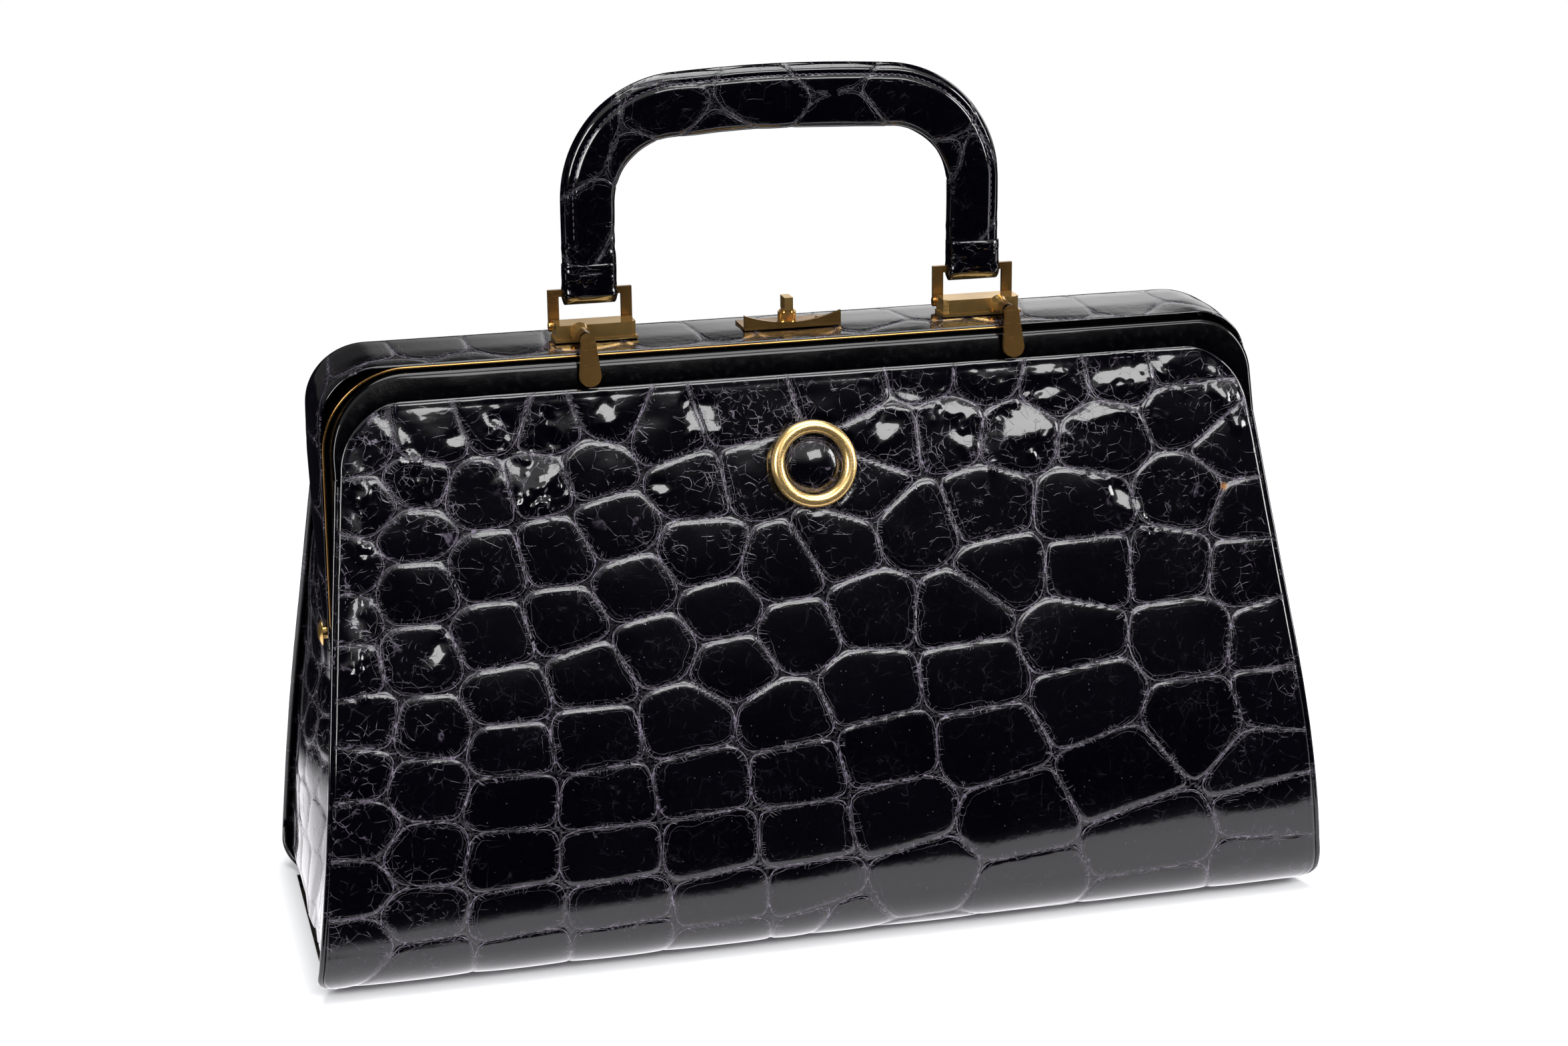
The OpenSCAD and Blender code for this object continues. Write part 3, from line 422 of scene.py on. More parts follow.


# Middles of the front hide's scales, read off the photograph, in its pixels
SCALES_SEEN = np.array([
    (535, 670), (645, 655), (740, 630), (825, 645), (910, 620), (1000, 645), (1100, 620), (550, 760),
    (625, 725), (715, 740), (810, 720), (885, 700), (1040, 725), (1130, 710), (515, 850), (620, 800),
    (730, 850), (835, 828), (920, 792), (1050, 830), (505, 930), (625, 885), (740, 955), (845, 930),
    (952, 880), (1080, 915), (1175, 850), (515, 1010), (630, 990), (885, 1015), (985, 970), (1100, 997),
    (1195, 950), (540, 1085), (645, 1095), (760, 1045), (1030, 1080), (1175, 1075), (530, 1160),
    (765, 1125), (890, 1105), (640, 1180), (765, 1200), (910, 1200), (1055, 1175), (1195, 1160),
    (535, 1245), (635, 1285), (765, 1290), (915, 1280), (1070, 1265), (1205, 1250), (530, 1335),
    (630, 1372), (775, 1372), (925, 1360), (1090, 1350), (1215, 1335), (530, 1420), (640, 1445),
    (785, 1428), (930, 1410), (1090, 1405), (1230, 1385), (1480, 560), (1580, 575), (1680, 555),
    (1770, 540), (1380, 560), (1280, 580), (1330, 650), (1420, 640), (1525, 645), (1650, 650), (1780, 610),
    (1855, 670), (1290, 730), (1480, 760), (1620, 762), (1780, 740), (1870, 765), (1255, 815), (1375, 790),
    (1505, 852), (1630, 850), (1760, 845), (1870, 850), (1305, 915), (1442, 915), (1605, 952), (1778, 950),
    (1910, 955), (1300, 1030), (1460, 1012), (1630, 1045), (1795, 1080), (1920, 1045), (1330, 1125),
    (1480, 1112), (1680, 1155), (1905, 1140), (1350, 1220), (1520, 1225), (1725, 1260), (1920, 1200),
    (1385, 1315), (1535, 1335), (1720, 1335), (1900, 1300), (1240, 1385), (1380, 1380), (1530, 1380),
    (1720, 1380), (1900, 1360),
], float)


def seen_on_panel(pixels):
    """Where lines of sight through some pixels meet the front panel: place across, and length up it."""
    aim = (forward + right_way * ((pixels[:, :1] - IMAGE_W / 2) / FOCAL_PX)
           - up_way * ((pixels[:, 1:] - IMAGE_H / 2) / FOCAL_PX))
    eye = CAMERA_AT / MM
    y = np.full(len(pixels), -50.0)
    for _ in range(12):
        reach = (y - eye[1]) / aim[:, 1]
        z = eye[2] + reach * aim[:, 2]
        y = -np.interp(z, side_view[:, 1], side_view[:, 0])
    up = np.interp(z, side_view[:, 1], side_run) + np.minimum(z - LIFT, 0) + np.maximum(z - TOP_Z, 0)
    return np.stack([eye[0] + reach * aim[:, 0], up], 1)


def panel_hide(name, side, columns, rows, middles, crumple, seed, glints=np.empty((0, 5))):
    """The hide of one panel, side being -1 at the front and 1 at the rear."""
    rim_u, rim_v = 2 / columns, 2 / rows

    def place(u, v):
        inner_u = np.clip((u - rim_u) / (1 - 2 * rim_u), 0, 1)
        inner_v = np.clip((v - rim_v) / (1 - 2 * rim_v), 0, 1)
        out = np.maximum(np.abs(u - 0.5) - 0.5 + rim_u, 0) / rim_u
        out = np.maximum(out, np.maximum(np.abs(v - 0.5) - 0.5 + rim_v, 0) / rim_v)
        run = inner_v * side_run[-1]
        at, away = side_at(run)
        half = half_at(at[:, 1])
        a = (2 * inner_u - 1) * half
        x = -side * a
        crease_at, ray = scales(a, run, middles)
        edge = np.minimum(half - np.abs(a), side_run[-1] - run)
        high = pillow(crease_at)
        rough_up = np.clip((at[:, 1] - 110) / 55, 0, 1) ** 1.5 * crumple
        rough_up *= np.clip(edge / 12, 0, 1)
        high += 0.25 * lumps(a, run, 34, seed) + (0.05 + 0.3 * rough_up) * lumps(a, run, 14, seed + 1)
        high += 0.1 * rough_up * lumps(a + 0.6 * run, run - 0.3 * a, 6, seed + 2)
        ragged = 0.6 + 0.35 * lumps(a, run, 4.5, seed + 3) + 0.3 * lumps(a - run, a + run, 2.6, seed + 4)
        ragged = np.maximum(ragged, 0.3)
        for (glint_a, glint_run), (_, _, wide, tall, turn_by) in zip(seen_on_panel(glints[:, :2]), glints):
            off_a, off_run = a - glint_a, run - glint_run
            c, d = np.cos(np.radians(turn_by)), np.sin(np.radians(turn_by))
            ring = ((c * off_a + d * off_run) / wide) ** 2 + ((c * off_run - d * off_a) / tall) ** 2
            ring *= 0.6 * ragged
            high -= (GLINT_LEAN * off_run + GLINT_TURN * off_a) * np.exp(-ring ** 2)
        # The hide lies flat under the medallion
        from_medal = np.hypot(a, at[:, 1] - MEDAL_Z)
        high = np.where(from_medal < 15, np.minimum(high, 0.05), high)
        # A groove under the stitches, and the turned edge
        groove = 0.35 * np.exp(-((edge - STITCH_IN) / 0.8) ** 2)
        near_edge = np.clip(edge / 7, 0, 1)
        lifted = (high - 0.35) * near_edge + 0.35 * np.clip(edge / 1.5, 0, 1)
        high = lifted - 0.35 * groove - 0.4 * np.clip(1 - edge / 0.9, 0, 1) ** 2
        high -= out * LEATHER * 0.85
        depth = at[:, 0] + high * away[:, 0]
        points = np.stack([x, side * depth, at[:, 1] + high * away[:, 1]], 1)
        at_flanks = 0.7 * np.clip((-a - 105) / 45, 0, 1) + 0.4 * np.clip((a - 120) / 30, 0, 1)
        crackle = 0.12 + 0.9 * rough_up + at_flanks
        return points, crease_at, ray, np.clip(crackle, 0, 1)
    return skin(name, columns, rows, place)


STITCH_IN, MEDAL_Z = 2.6, 154.0
front_grid, rear_grid = (400, 232), (300, 176)
# Where the full hide leans up far enough to mirror the key lamp: place in pixels, half sizes in millimetres
# and turn in degrees
GLINT_LEAN, GLINT_TURN = 0.19, -0.03
GLINTS_SEEN = np.array([
    (584, 640, 1.6, 9.0, 25), (531, 705, 2.2, 8.0, 8), (532, 785, 1.8, 6.0, 0), (736, 620, 2.0, 4.0, 10),
    (764, 657, 1.8, 5.5, 35), (783, 708, 4.2, 5.5, 30), (818, 695, 3.4, 6.0, 0), (909, 618, 1.8, 3.5, 10),
    (1050, 628, 3.0, 4.6, 20), (687, 663, 1.8, 1.8, 0), (991, 732, 1.6, 1.6, 0), (1355, 600, 5.5, 3.0, -25),
    (1328, 646, 3.6, 2.6, 35), (1443, 612, 4.0, 3.6, 0), (1444, 655, 2.0, 5.0, 40),
    (1528, 552, 9.0, 2.6, -8),
    (1544, 636, 6.5, 4.2, 20), (1566, 590, 4.0, 2.6, 0), (1644, 616, 5.5, 2.2, 0), (1690, 562, 7.5, 3.6, -5),
    (1694, 604, 4.6, 3.0, 0), (1732, 536, 5.0, 3.0, 0), (1829, 552, 3.0, 6.0, 15), (1852, 592, 2.4, 7.0, 12),
    (529, 945, 2.2, 8.0, 0), (655, 985, 1.4, 3.5, -20), (1692, 752, 1.6, 6.0, 35), (1664, 712, 5.0, 1.2, 0),
    (1905, 720, 1.6, 6.0, 8),
])
front_middles = seen_on_panel(SCALES_SEEN)
front_panel = panel_hide("front_hide", -1, *front_grid, front_middles, 1.0, 21, GLINTS_SEEN)
rear_panel = panel_hide("rear_hide", 1, *rear_grid, panel_middles(12), 0.5, 31)
# The corner at the foot is scuffed through to the tan, and there are two small scratches near the frame
TAN = (0.30, 0.13, 0.055, 1)
front_skin = hide("front crocodile", crackle=None, marks=(
    ((-0.1655, -0.046, 0.002), 0.0028, TAN),
    ((-0.0705, -0.0215, 0.1768), 0.0012, TAN),
    ((0.1385, -0.037, 0.137), 0.0015, (0.22, 0.10, 0.03, 1)),
))
dress(front_panel, front_skin)
dress(rear_panel, hide("rear crocodile", crackle=None))
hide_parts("front_panel")
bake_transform(front_panel)
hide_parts("rear_panel")
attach(rear_panel, "bag_body")


# Stitching: waxed plum thread, about eleven stitches to the inch, through the turned edges of both panels.
THREAD = (0.020, 0.010, 0.028, 1)
thread_paint, tree, surface, place = finish("waxed plum thread", rough=0.45, Sheen_Weight=0.2)
ply = node(tree, "TexWave", {"Vector": place, "Scale": 900.0, "Distortion": 1.5}, bands_direction="DIAGONAL")
tree.links.new(mixed(tree, ply.outputs["Fac"], THREAD, (0.07, 0.045, 0.085, 1)),
               surface.inputs["Base Color"])
lay = node(tree, "Bump", {"Height": ply.outputs["Fac"], "Strength": 0.4, "Distance": 0.00008})
tree.links.new(lay.outputs[0], surface.inputs["Normal"])


def stitches(name, path, outward, pitch=2.35, long=1.75, thick=0.42):
    """A row of stitches along a path of points, each lying along it, with its outward directions."""
    steps = np.linalg.norm(np.diff(path, axis=0), axis=1)
    run = np.concatenate([[0], np.cumsum(steps)])
    spots = np.arange(pitch / 2, run[-1], pitch)

    def along(values, s):
        return np.stack([np.interp(s, run, values[:, k]) for k in range(3)], 1)
    ahead = along(path, spots + long / 2) - along(path, spots - long / 2)
    ahead /= np.linalg.norm(ahead, axis=1)[:, None]
    up = along(outward, spots)
    up -= (up * ahead).sum(1)[:, None] * ahead
    up /= np.linalg.norm(up, axis=1)[:, None]
    aside = np.cross(up, ahead)
    bpy.ops.object.select_all(action="DESELECT")
    bpy.ops.mesh.primitive_uv_sphere_add(segments=6, ring_count=5, radius=0.5)
    one = bpy.context.object
    shape = np.array([corner.co for corner in one.data.vertices])
    faces = [tuple(face.vertices) for face in one.data.polygons]
    bpy.data.objects.remove(one)
    middle = along(path, spots)
    points = (middle[:, None] + shape[None, :, 2:3] * long * ahead[:, None]
              + shape[None, :, 0:1] * thick * aside[:, None] + shape[None, :, 1:2] * thick * up[:, None])
    joined = [tuple(i + len(shape) * k for i in face) for k in range(len(spots)) for face in faces]
    mesh = bpy.data.meshes.new(name)
    mesh.from_pydata((points.reshape(-1, 3) * MM).tolist(), [], joined)
    piece = bpy.data.objects.new(name, mesh)
    bpy.context.collection.objects.link(piece)
    bpy.ops.object.select_all(action="DESELECT")
    bpy.context.view_layer.objects.active = piece
    piece.select_set(True)
    bpy.ops.object.mode_set(mode="EDIT")
    bpy.ops.mesh.select_all(action="SELECT")
    bpy.ops.mesh.normals_make_consistent(inside=False)
    bpy.ops.mesh.faces_shade_smooth()
    bpy.ops.object.mode_set(mode="OBJECT")
    return dress(piece, thread_paint)


def panel_edge(side, inset, proud):
    """Path along a panel's edge, up one side, over the top and down the other, and outward directions."""
    run = np.linspace(14, side_run[-1] - inset, 120)
    at, away = side_at(run)
    half = half_at(at[:, 1] + inset * np.clip((at[:, 1] - TOP_Z + CORNER) / CORNER, 0, 1)) - inset
    up_side = np.stack([-half, at[:, 0], at[:, 1]], 1)
    across = np.linspace(-1, 1, 60)[1:-1, None] * np.array([[half[-1], 0, 0]])
    path = np.concatenate([up_side, across + [0, at[-1, 0], at[-1, 1]], up_side[::-1] * [-1, 1, 1]])
    leaning = np.stack([0 * half, away[:, 0], away[:, 1]], 1)
    outward = np.concatenate([leaning, np.repeat(leaning[-1:], len(across), 0), leaning[::-1]])
    path = path + outward * proud
    return path * [1, side, 1], outward * [1, side, 1]


front_stitches = stitches("front_stitches", *panel_edge(-1, STITCH_IN, -0.2))
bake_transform(front_stitches)
rear_stitches = stitches("rear_stitches", *panel_edge(1, STITCH_IN, -0.2))
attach(rear_stitches, "bag_body")


# Welts: a strip of hide rolled over a cord, caught in the seam between each panel and its gussets.
def rope(name, path, radius, around=10, aside=(1.0, 0.0, 0.0)):
    """A round tube along a path of points, closed to a point at both ends."""
    steps = np.linalg.norm(np.diff(path, axis=0), axis=1)
    run = np.concatenate([[0], np.cumsum(steps)])
    rows = int(run[-1] / (radius * 1.1)) + 8

    def place(u, v):
        s = np.clip(v * 1.02 - 0.01, 0, 1) * run[-1]
        at = np.stack([np.interp(s, run, path[:, k]) for k in range(3)], 1)
        ahead = np.stack([np.interp(s + 1, run, path[:, k]) - np.interp(s - 1, run, path[:, k])
                          for k in range(3)], 1)
        ahead /= np.linalg.norm(ahead, axis=1)[:, None]
        side_way = np.cross(ahead, aside)
        side_way /= np.linalg.norm(side_way, axis=1)[:, None]
        up_way = np.cross(side_way, ahead)
        angle = 2 * np.pi * u
        slim = np.sqrt(np.clip(np.minimum(v, 1 - v) * run[-1] / radius, 0, 1))[:, None]
        slim = np.where((v < 1e-6) | (v > 1 - 1e-6), 0, slim.ravel())[:, None]
        ring = np.cos(angle)[:, None] * side_way + np.sin(angle)[:, None] * up_way
        ridge = 1 + 0.05 * lumps(s, 20 * u, 5, 3)[:, None]
        return at + ring * radius * slim * ridge, 3.0 + 2 * lumps(s, 0 * s, 9, 8), 0.5
    return skin(name, around, rows, place, closed=True)


def welt(name, side):
    """The two side welts of one panel, as one piece."""
    made = []
    for hand in (-1, 1):
        run = np.linspace(3, side_run[-1] - 23, 90)
        at, away = side_at(run)
        half = half_at(at[:, 1]) + 0.7
        path = np.stack([hand * half, side * (at[:, 0] - 0.9 * away[:, 0]), at[:, 1] - 0.9 * away[:, 1]], 1)
        made.append(rope(name, path, 0.9))
    bpy.ops.object.select_all(action="DESELECT")
    for piece in made:
        piece.select_set(True)
    bpy.context.view_layer.objects.active = made[0]
    bpy.ops.object.join()
    made[0].name = name
    return made[0]


welt_skin = hide("welt hide", crackle=0.2, marks=(((-0.1668, -0.046, 0.003), 0.0035, TAN),))
front_welt = dress(welt("front_welts", -1), welt_skin)
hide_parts("front_welt")
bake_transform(front_welt)
rear_welt = dress(welt("rear_welts", 1), welt_skin)
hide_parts("rear_welt")
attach(rear_welt, "bag_body")


# Base: a flat hide between the panels' rolled edges, with their seams along it.
SOLE_HALF, SOLE_DEPTH = 164.3, 44.4


def base_place(u, v):
    a, b = (2 * u - 1) * SOLE_HALF, (2 * v - 1) * SOLE_DEPTH
    crease_at, ray = scales(a, b, rows_of_scales(-166, 166, -45, 45, 22, 16, 3))
    edge = np.minimum(SOLE_HALF - np.abs(a), SOLE_DEPTH - np.abs(b))
    sunk = 0.25 * (1 - np.clip(crease_at / 1.3, 0, 1)) + 0.9 * np.clip(1 - edge / 1.5, 0, 1) ** 2
    return np.stack([a, -b, 0.02 + sunk], 1), crease_at, ray


base_hide = dress(skin("base_hide", 210, 64, base_place), hide("base crocodile"))
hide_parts("base_panel")
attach(base_hide, "bag_body")


# Gussets: a folded hide at each side. Its middle is drawn inwards, and it ends on the frame's legs.
HINGE_Z, WALL_Z, FOLD_Z, FOLD_IN = 102.0, 158.0, 78.0, 14.0
GUSSET_X, GUSSET_LOW, GUSSET_HIGH = 148.3, 2.5, 158.4
CREASE_HIGH = HINGE_Z - 4
# Above the crease each leaf's free edge moves out to the frame's leg, within a few millimetres of height
TO_LEG_UP, REAR_LEG_OUT, FRONT_LEG_OUT = 6.0, 2.9, 1.0


def gusset(name, hand, side, seed):
    """Half a gusset, from its crease to one panel, hand being -1 at the left and 1 at the right."""
    middles = rows_of_scales(0, 64, 0, 160, 17, 15, seed)
    inner_side = side_view - (LEATHER + 0.4) * side_at(side_run)[1]

    def place(u, v):
        z = GUSSET_LOW + (GUSSET_HIGH - GUSSET_LOW) * v
        fold_half = np.interp(FOLD_Z, outline_z, outline_x) - 1.5 - FOLD_IN
        leg_out = REAR_LEG_OUT if side > 0 else FRONT_LEG_OUT
        crease_x = np.interp(z, [0, FOLD_Z, CREASE_HIGH, CREASE_HIGH + TO_LEG_UP],
                             [BASE_HALF - 1.5, fold_half, GUSSET_X, GUSSET_X + leg_out])
        ends = [0, 3.5, plane_depth(WALL_Z) - 5]
        crease_y = np.interp(z, [CREASE_HIGH, HINGE_Z, WALL_Z], ends)
        edge_x = np.where(z > CREASE_HIGH, np.minimum(half_at(z) - 1.3, GUSSET_X + 10), half_at(z) - 1.3)
        edge_y = np.interp(z, inner_side[:, 1], inner_side[:, 0])
        # The sheet swells outwards between its crease and its seam
        swell_out = 2.6 * np.sin(np.pi * u) * np.clip((z - 8) / 30, 0, 1) * np.clip((150 - z) / 40, 0, 1)
        width = edge_y - crease_y
        crease_at, ray = scales(u * 58, z, middles)
        high = 0.6 * pillow(crease_at) + 0.5 * lumps(u * 58, z, 21, seed + 1)
        high *= np.clip(np.minimum(u, 1 - u) * 8, 0, 1)
        x = (1 - u) * crease_x + u * edge_x + swell_out + high
        y = crease_y + u * width
        return np.stack([hand * x, side * y, z], 1), crease_at, ray
    piece = skin(name, 46, 110, place)
    if hand * side < 0:
        piece.data.flip_normals()
    return piece


gusset_skin = hide("gusset crocodile", crackle=0.5)
for hand, hand_name in ((-1, "left"), (1, "right")):
    rear_leaf = gusset(hand_name + "_gusset_rear_leaf", hand, 1, 41 + hand)
    dress(rear_leaf, gusset_skin)
    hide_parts(hand_name + "_gusset")
    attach(rear_leaf, "bag_body")
    front_leaf = gusset(hand_name + "_gusset_front_leaf", hand, -1, 51 + hand)
    dress(front_leaf, gusset_skin)
    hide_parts(hand_name + "_gusset_front")
    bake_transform(front_leaf)


# Bands: smooth calf over the frame halves' sloping walls, between each panel's edge and the frame's rim.
# The leather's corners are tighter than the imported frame's, as the photograph shows them.
COVER_HALF, COVER_TOP, COVER_R, HIDE_R, COVER_T = 154.8, 193.2, 28.0, 20.0, 1.5
METAL, NEST = 1.4, 0.4
REAR_RIM = COVER_T + 0.1
FRONT_RIM = REAR_RIM + METAL + NEST

calf, tree, surface, place = finish("glazed calf", Specular_IOR_Level=0.08, Coat_Weight=0.5,
                                    Coat_Roughness=0.04)
pore = node(tree, "TexVoronoi", {"Vector": place, "Scale": 1300.0, "Randomness": 1.0}).outputs[0]
cloud = node(tree, "TexNoise", {"Vector": place, "Scale": 70.0, "Detail": 4.0}).outputs[0]
rub = node(tree, "TexNoise", {"Vector": place, "Scale": 420.0, "Detail": 5.0}).outputs[0]
calf_dye = mixed(tree, ramp(tree, rub, 0.55, 0.8), (0.0003, 0.0003, 0.0006, 1), (0.003, 0.003, 0.004, 1))
tree.links.new(calf_dye, surface.inputs["Base Color"])
tree.links.new(sums(tree, "MULTIPLY_ADD", rub, 0.22, 0.06), surface.inputs["Roughness"])
calf_high = sums(tree, "MULTIPLY_ADD", cloud, 1.2, sums(tree, "MULTIPLY", pore, 0.08))
bump = node(tree, "Bump", {"Height": calf_high, "Strength": 0.5, "Distance": 0.00025})
tree.links.new(bump.outputs[0], surface.inputs["Normal"])


def arch_path(half, top, radius, low, right_radius=None):
    """Front view of an arched outline, from its left foot over the top to its right, with directions."""
    angle = np.linspace(np.pi, np.pi / 2, 24)
    out = np.stack([np.cos(angle), np.sin(angle)], 1)
    halves = []
    for r in (radius, right_radius or radius):
        corner = np.array([r - half, top - r]) + r * out
        leg = np.stack([np.full(30, -half), np.linspace(low, top - r, 31)[:-1]], 1)
        bar = np.stack([np.linspace(r - half, 0, 61)[1:], np.full(60, top)], 1)
        halves.append(np.concatenate([leg, corner, bar]))
    half_out = np.concatenate([np.repeat([[-1.0, 0.0]], 30, 0), out, np.repeat([[0.0, 1.0]], 60, 0)])
    path = np.concatenate([halves[0], halves[1][::-1][1:] * [-1, 1]])
    outs = np.concatenate([half_out, half_out[::-1][1:] * [-1, 1]])
    run = np.concatenate([[0], np.cumsum(np.linalg.norm(np.diff(path, axis=0), axis=1))])
    return path, outs, run


def frame_band(name, side, rim, left_r, right_r):
    """The band on one frame wall, side being -1 at the front. It tucks under the panel's edge."""
    outer, _, outer_run = arch_path(COVER_HALF - rim, COVER_TOP - rim, left_r - rim, WALL_Z, right_r - rim)
    share = outer_run / outer_run[-1]
    inner, _, inner_run = arch_path(TOP_HALF - 1.0, TOP_Z - 2.2, CORNER - 1.5, WALL_Z)

    def place(u, v):
        def look(path, run, key, at):
            return np.interp(at, run, path[:, key])
        on_outer = np.stack([look(outer, share, k, u) for k in (0, 1)], 1)
        inner_share = inner_run / inner_run[-1]
        on_inner = np.stack([look(inner, inner_share, k, u) for k in (0, 1)], 1)
        flat = on_inner + (on_outer - on_inner) * np.clip(v, 0, 1)[:, None]
        width = np.linalg.norm(on_outer - on_inner, axis=1)
        from_rim = (1 - v) * width
        high = 0.12 * lumps(u * 500, v * 14, 24, 61) + 0.18 * np.sin(np.pi * np.clip(v, 0, 1))
        high -= 0.75 * np.clip(1 - from_rim / 1.1, 0, 1) ** 2
        high -= 1.2 * np.clip(1 - v * width / 2.2, 0, 1)
        lean_n = np.array([1.0, SLOPE]) / np.hypot(1, SLOPE)
        depth = plane_depth(flat[:, 1]) - 0.25
        y = side * (depth + high * lean_n[0])
        points = np.stack([flat[:, 0] * -side, y, flat[:, 1] + high * lean_n[1]], 1)
        return points, 9.0, 0.5
    return skin(name, 420, 16, place)


front_band = dress(frame_band("front_band_calf", -1, FRONT_RIM, COVER_R, HIDE_R), calf)
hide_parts("front_band")
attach(front_band, "front_half")
rear_band = dress(frame_band("rear_band_calf", 1, REAR_RIM, HIDE_R, HIDE_R), calf)
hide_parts("rear_band")
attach(rear_band, "bag_body")


# Cover: a strip of crocodile glued over the rear frame half, wrapped round its corners and down its legs.
# Its front edge is skived thin and rolled over the brass, and its rear edge meets the rear band.
LIP, GOLD, LEG_R = 18.0, 0.5, 6.5
SKIVED, ROUNDED, ROUND_DOWN = 13.0, 13.0, 1.25


def cover_place(u, v):
    path, outs, run = arch_path(COVER_HALF, COVER_TOP, HIDE_R, HINGE_Z - 4.5)
    s = u * run[-1]
    at = np.stack([np.interp(s, run, path[:, k]) for k in (0, 1)], 1)
    out = np.stack([np.interp(s, run, outs[:, k]) for k in (0, 1)], 1)
    out /= np.linalg.norm(out, axis=1)[:, None]
    z = at[:, 1]
    front = -np.interp(z, [HINGE_Z, COVER_TOP + 1], [LEG_R - GOLD, LIP - GOLD])
    rear = np.interp(z, [HINGE_Z, WALL_Z, COVER_TOP + 1],
                     [LEG_R, plane_depth(WALL_Z), plane_depth(COVER_TOP + 1)])
    tip = np.sqrt(np.clip(1 - ((HINGE_Z - z) / LEG_R) ** 2, 0.05, 1))
    tip = np.where(z < HINGE_Z, tip, 1)
    front, rear = front * tip, rear * tip
    rim = 0.02
    inner = np.clip((v - rim) / (1 - 2 * rim), 0, 1)
    y = front + (rear - front) * inner
    under = np.maximum(np.abs(v - 0.5) - 0.5 + rim, 0) / rim
    crease_at, ray = scales(s, y, cover_middles, squat=0.8)
    from_front, from_rear = y - front, rear - y
    high = 0.45 * pillow(crease_at, crown=0.2) + 0.12 * lumps(s, y, 17, 71)
    high *= np.clip(np.minimum(from_front, from_rear) / 4, 0, 1)
    to_lip = SKIVED - from_front
    high -= 0.05 * (np.sqrt(to_lip ** 2 + 4) + to_lip)
    high -= ROUND_DOWN * np.clip(1 - from_rear / ROUNDED, 0, 1) ** 2
    high -= under * 0.5
    return np.stack([at[:, 0] + out[:, 0] * high, y, z + out[:, 1] * high], 1), crease_at, ray


cover_middles = rows_of_scales(0, 560, -30, 34, 23, 34, 15, 0.2)
cover = skin("frame_cover_hide", 620, 50, cover_place)
dress(cover, hide("cover crocodile", crackle=0.15))
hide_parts("rear_frame_cover")
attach(cover, "bag_body")


# Brass: every fitting is turned or pressed brass, gold-plated and polished, and now a little worn and brown.
GOLD_BRIGHT = (0.90, 0.58, 0.20, 1)
GOLD_DULL = (0.38, 0.20, 0.055, 1)
patina, taken, given = effect(
    "worn plating",
    [("Place", "Vector"), ("Bright", "Color"), ("Dull", "Color"), ("Wear", "Float"), ("Gloss", "Float")],
    [("Color", "Color"), ("Roughness", "Float"), ("Height", "Float")],
)
blotch = node(patina, "TexNoise", {"Vector": taken["Place"], "Scale": 70.0, "Detail": 3.0}).outputs[0]
fine = node(patina, "TexNoise", {"Vector": taken["Place"], "Scale": 900.0, "Detail": 4.0}).outputs[0]
drawn = node(patina, "Mapping", {"Vector": taken["Place"], "Scale": (260.0, 2400.0, 2400.0)}).outputs[0]
scratch = node(patina, "TexNoise", {"Vector": drawn, "Scale": 1.0, "Detail": 2.0}).outputs[0]
pits = node(patina, "TexVoronoi", {"Vector": taken["Place"], "Scale": 700.0}).outputs[0]
pit = ramp(patina, pits, 0.16, 0.05)
tarnish = sums(patina, "MULTIPLY", ramp(patina, blotch, 0.38, 0.68), taken["Wear"])
worn_pit = sums(patina, "MULTIPLY", pit, taken["Wear"])
tarnish = sums(patina, "MULTIPLY_ADD", worn_pit, 0.35, tarnish, clamp=True)
patina.links.new(mixed(patina, tarnish, taken["Bright"], taken["Dull"]), given["Color"])
haze = sums(patina, "MULTIPLY_ADD", ramp(patina, scratch, 0.5, 0.75), 0.1, taken["Gloss"])
patina.links.new(sums(patina, "MULTIPLY_ADD", tarnish, 0.14, haze), given["Roughness"])
dents = sums(patina, "MULTIPLY_ADD", blotch, 0.7, sums(patina, "MULTIPLY", fine, 0.05))
patina.links.new(sums(patina, "MULTIPLY_ADD", scratch, 0.15, dents), given["Height"])


def metal(name, bright, dull, wear, gloss):
    """A polished and worn metal."""
    made, tree, surface, place = finish(name, Metallic=0.9)
    worn = node(tree, "Group", node_tree=patina)
    for key, value in (("Bright", bright), ("Dull", dull), ("Wear", wear), ("Gloss", gloss)):
        worn.inputs[key].default_value = value
    tree.links.new(place, worn.inputs["Place"])
    tree.links.new(worn.outputs["Color"], surface.inputs["Base Color"])
    tree.links.new(worn.outputs["Roughness"], surface.inputs["Roughness"])
    bump = node(tree, "Bump", {"Height": worn.outputs["Height"], "Strength": 0.35, "Distance": 0.00012})
    tree.links.new(bump.outputs[0], surface.inputs["Normal"])
    return made


def paint(material, *names):
    """Gives CAD nodes a material in place of their plain ones."""
    for name in names:
        for holder in [nodes[name]] + list(nodes[name].children):
            if holder.type == "MESH":
                for place_in in holder.material_slots:
                    place_in.material = material
                if not holder.material_slots:
                    holder.data.materials.append(material)


satin = metal("satin gold plate", (0.96, 0.66, 0.27, 1), GOLD_DULL, 0.25, 0.24)
polished = metal("polished gold plate", GOLD_BRIGHT, GOLD_DULL, 0.35, 0.08)
browned = metal("browned gold plate", (0.48, 0.27, 0.085, 1), (0.17, 0.08, 0.028, 1), 0.5, 0.14)
steel = metal("nickel steel", (0.62, 0.60, 0.56, 1), (0.30, 0.27, 0.24, 1), 0.4, 0.2)
paint(satin, "medallion_ring")
paint(polished, "key_collar", "turn_key", "left_handle_bracket", "right_handle_bracket",
      "left_hinge_pin", "right_hinge_pin")
paint(browned, "left_ring", "right_ring", "left_lever", "right_lever", "clasp_plate", "clasp_rivets")
paint(steel, "bracket_nuts", "key_cam")

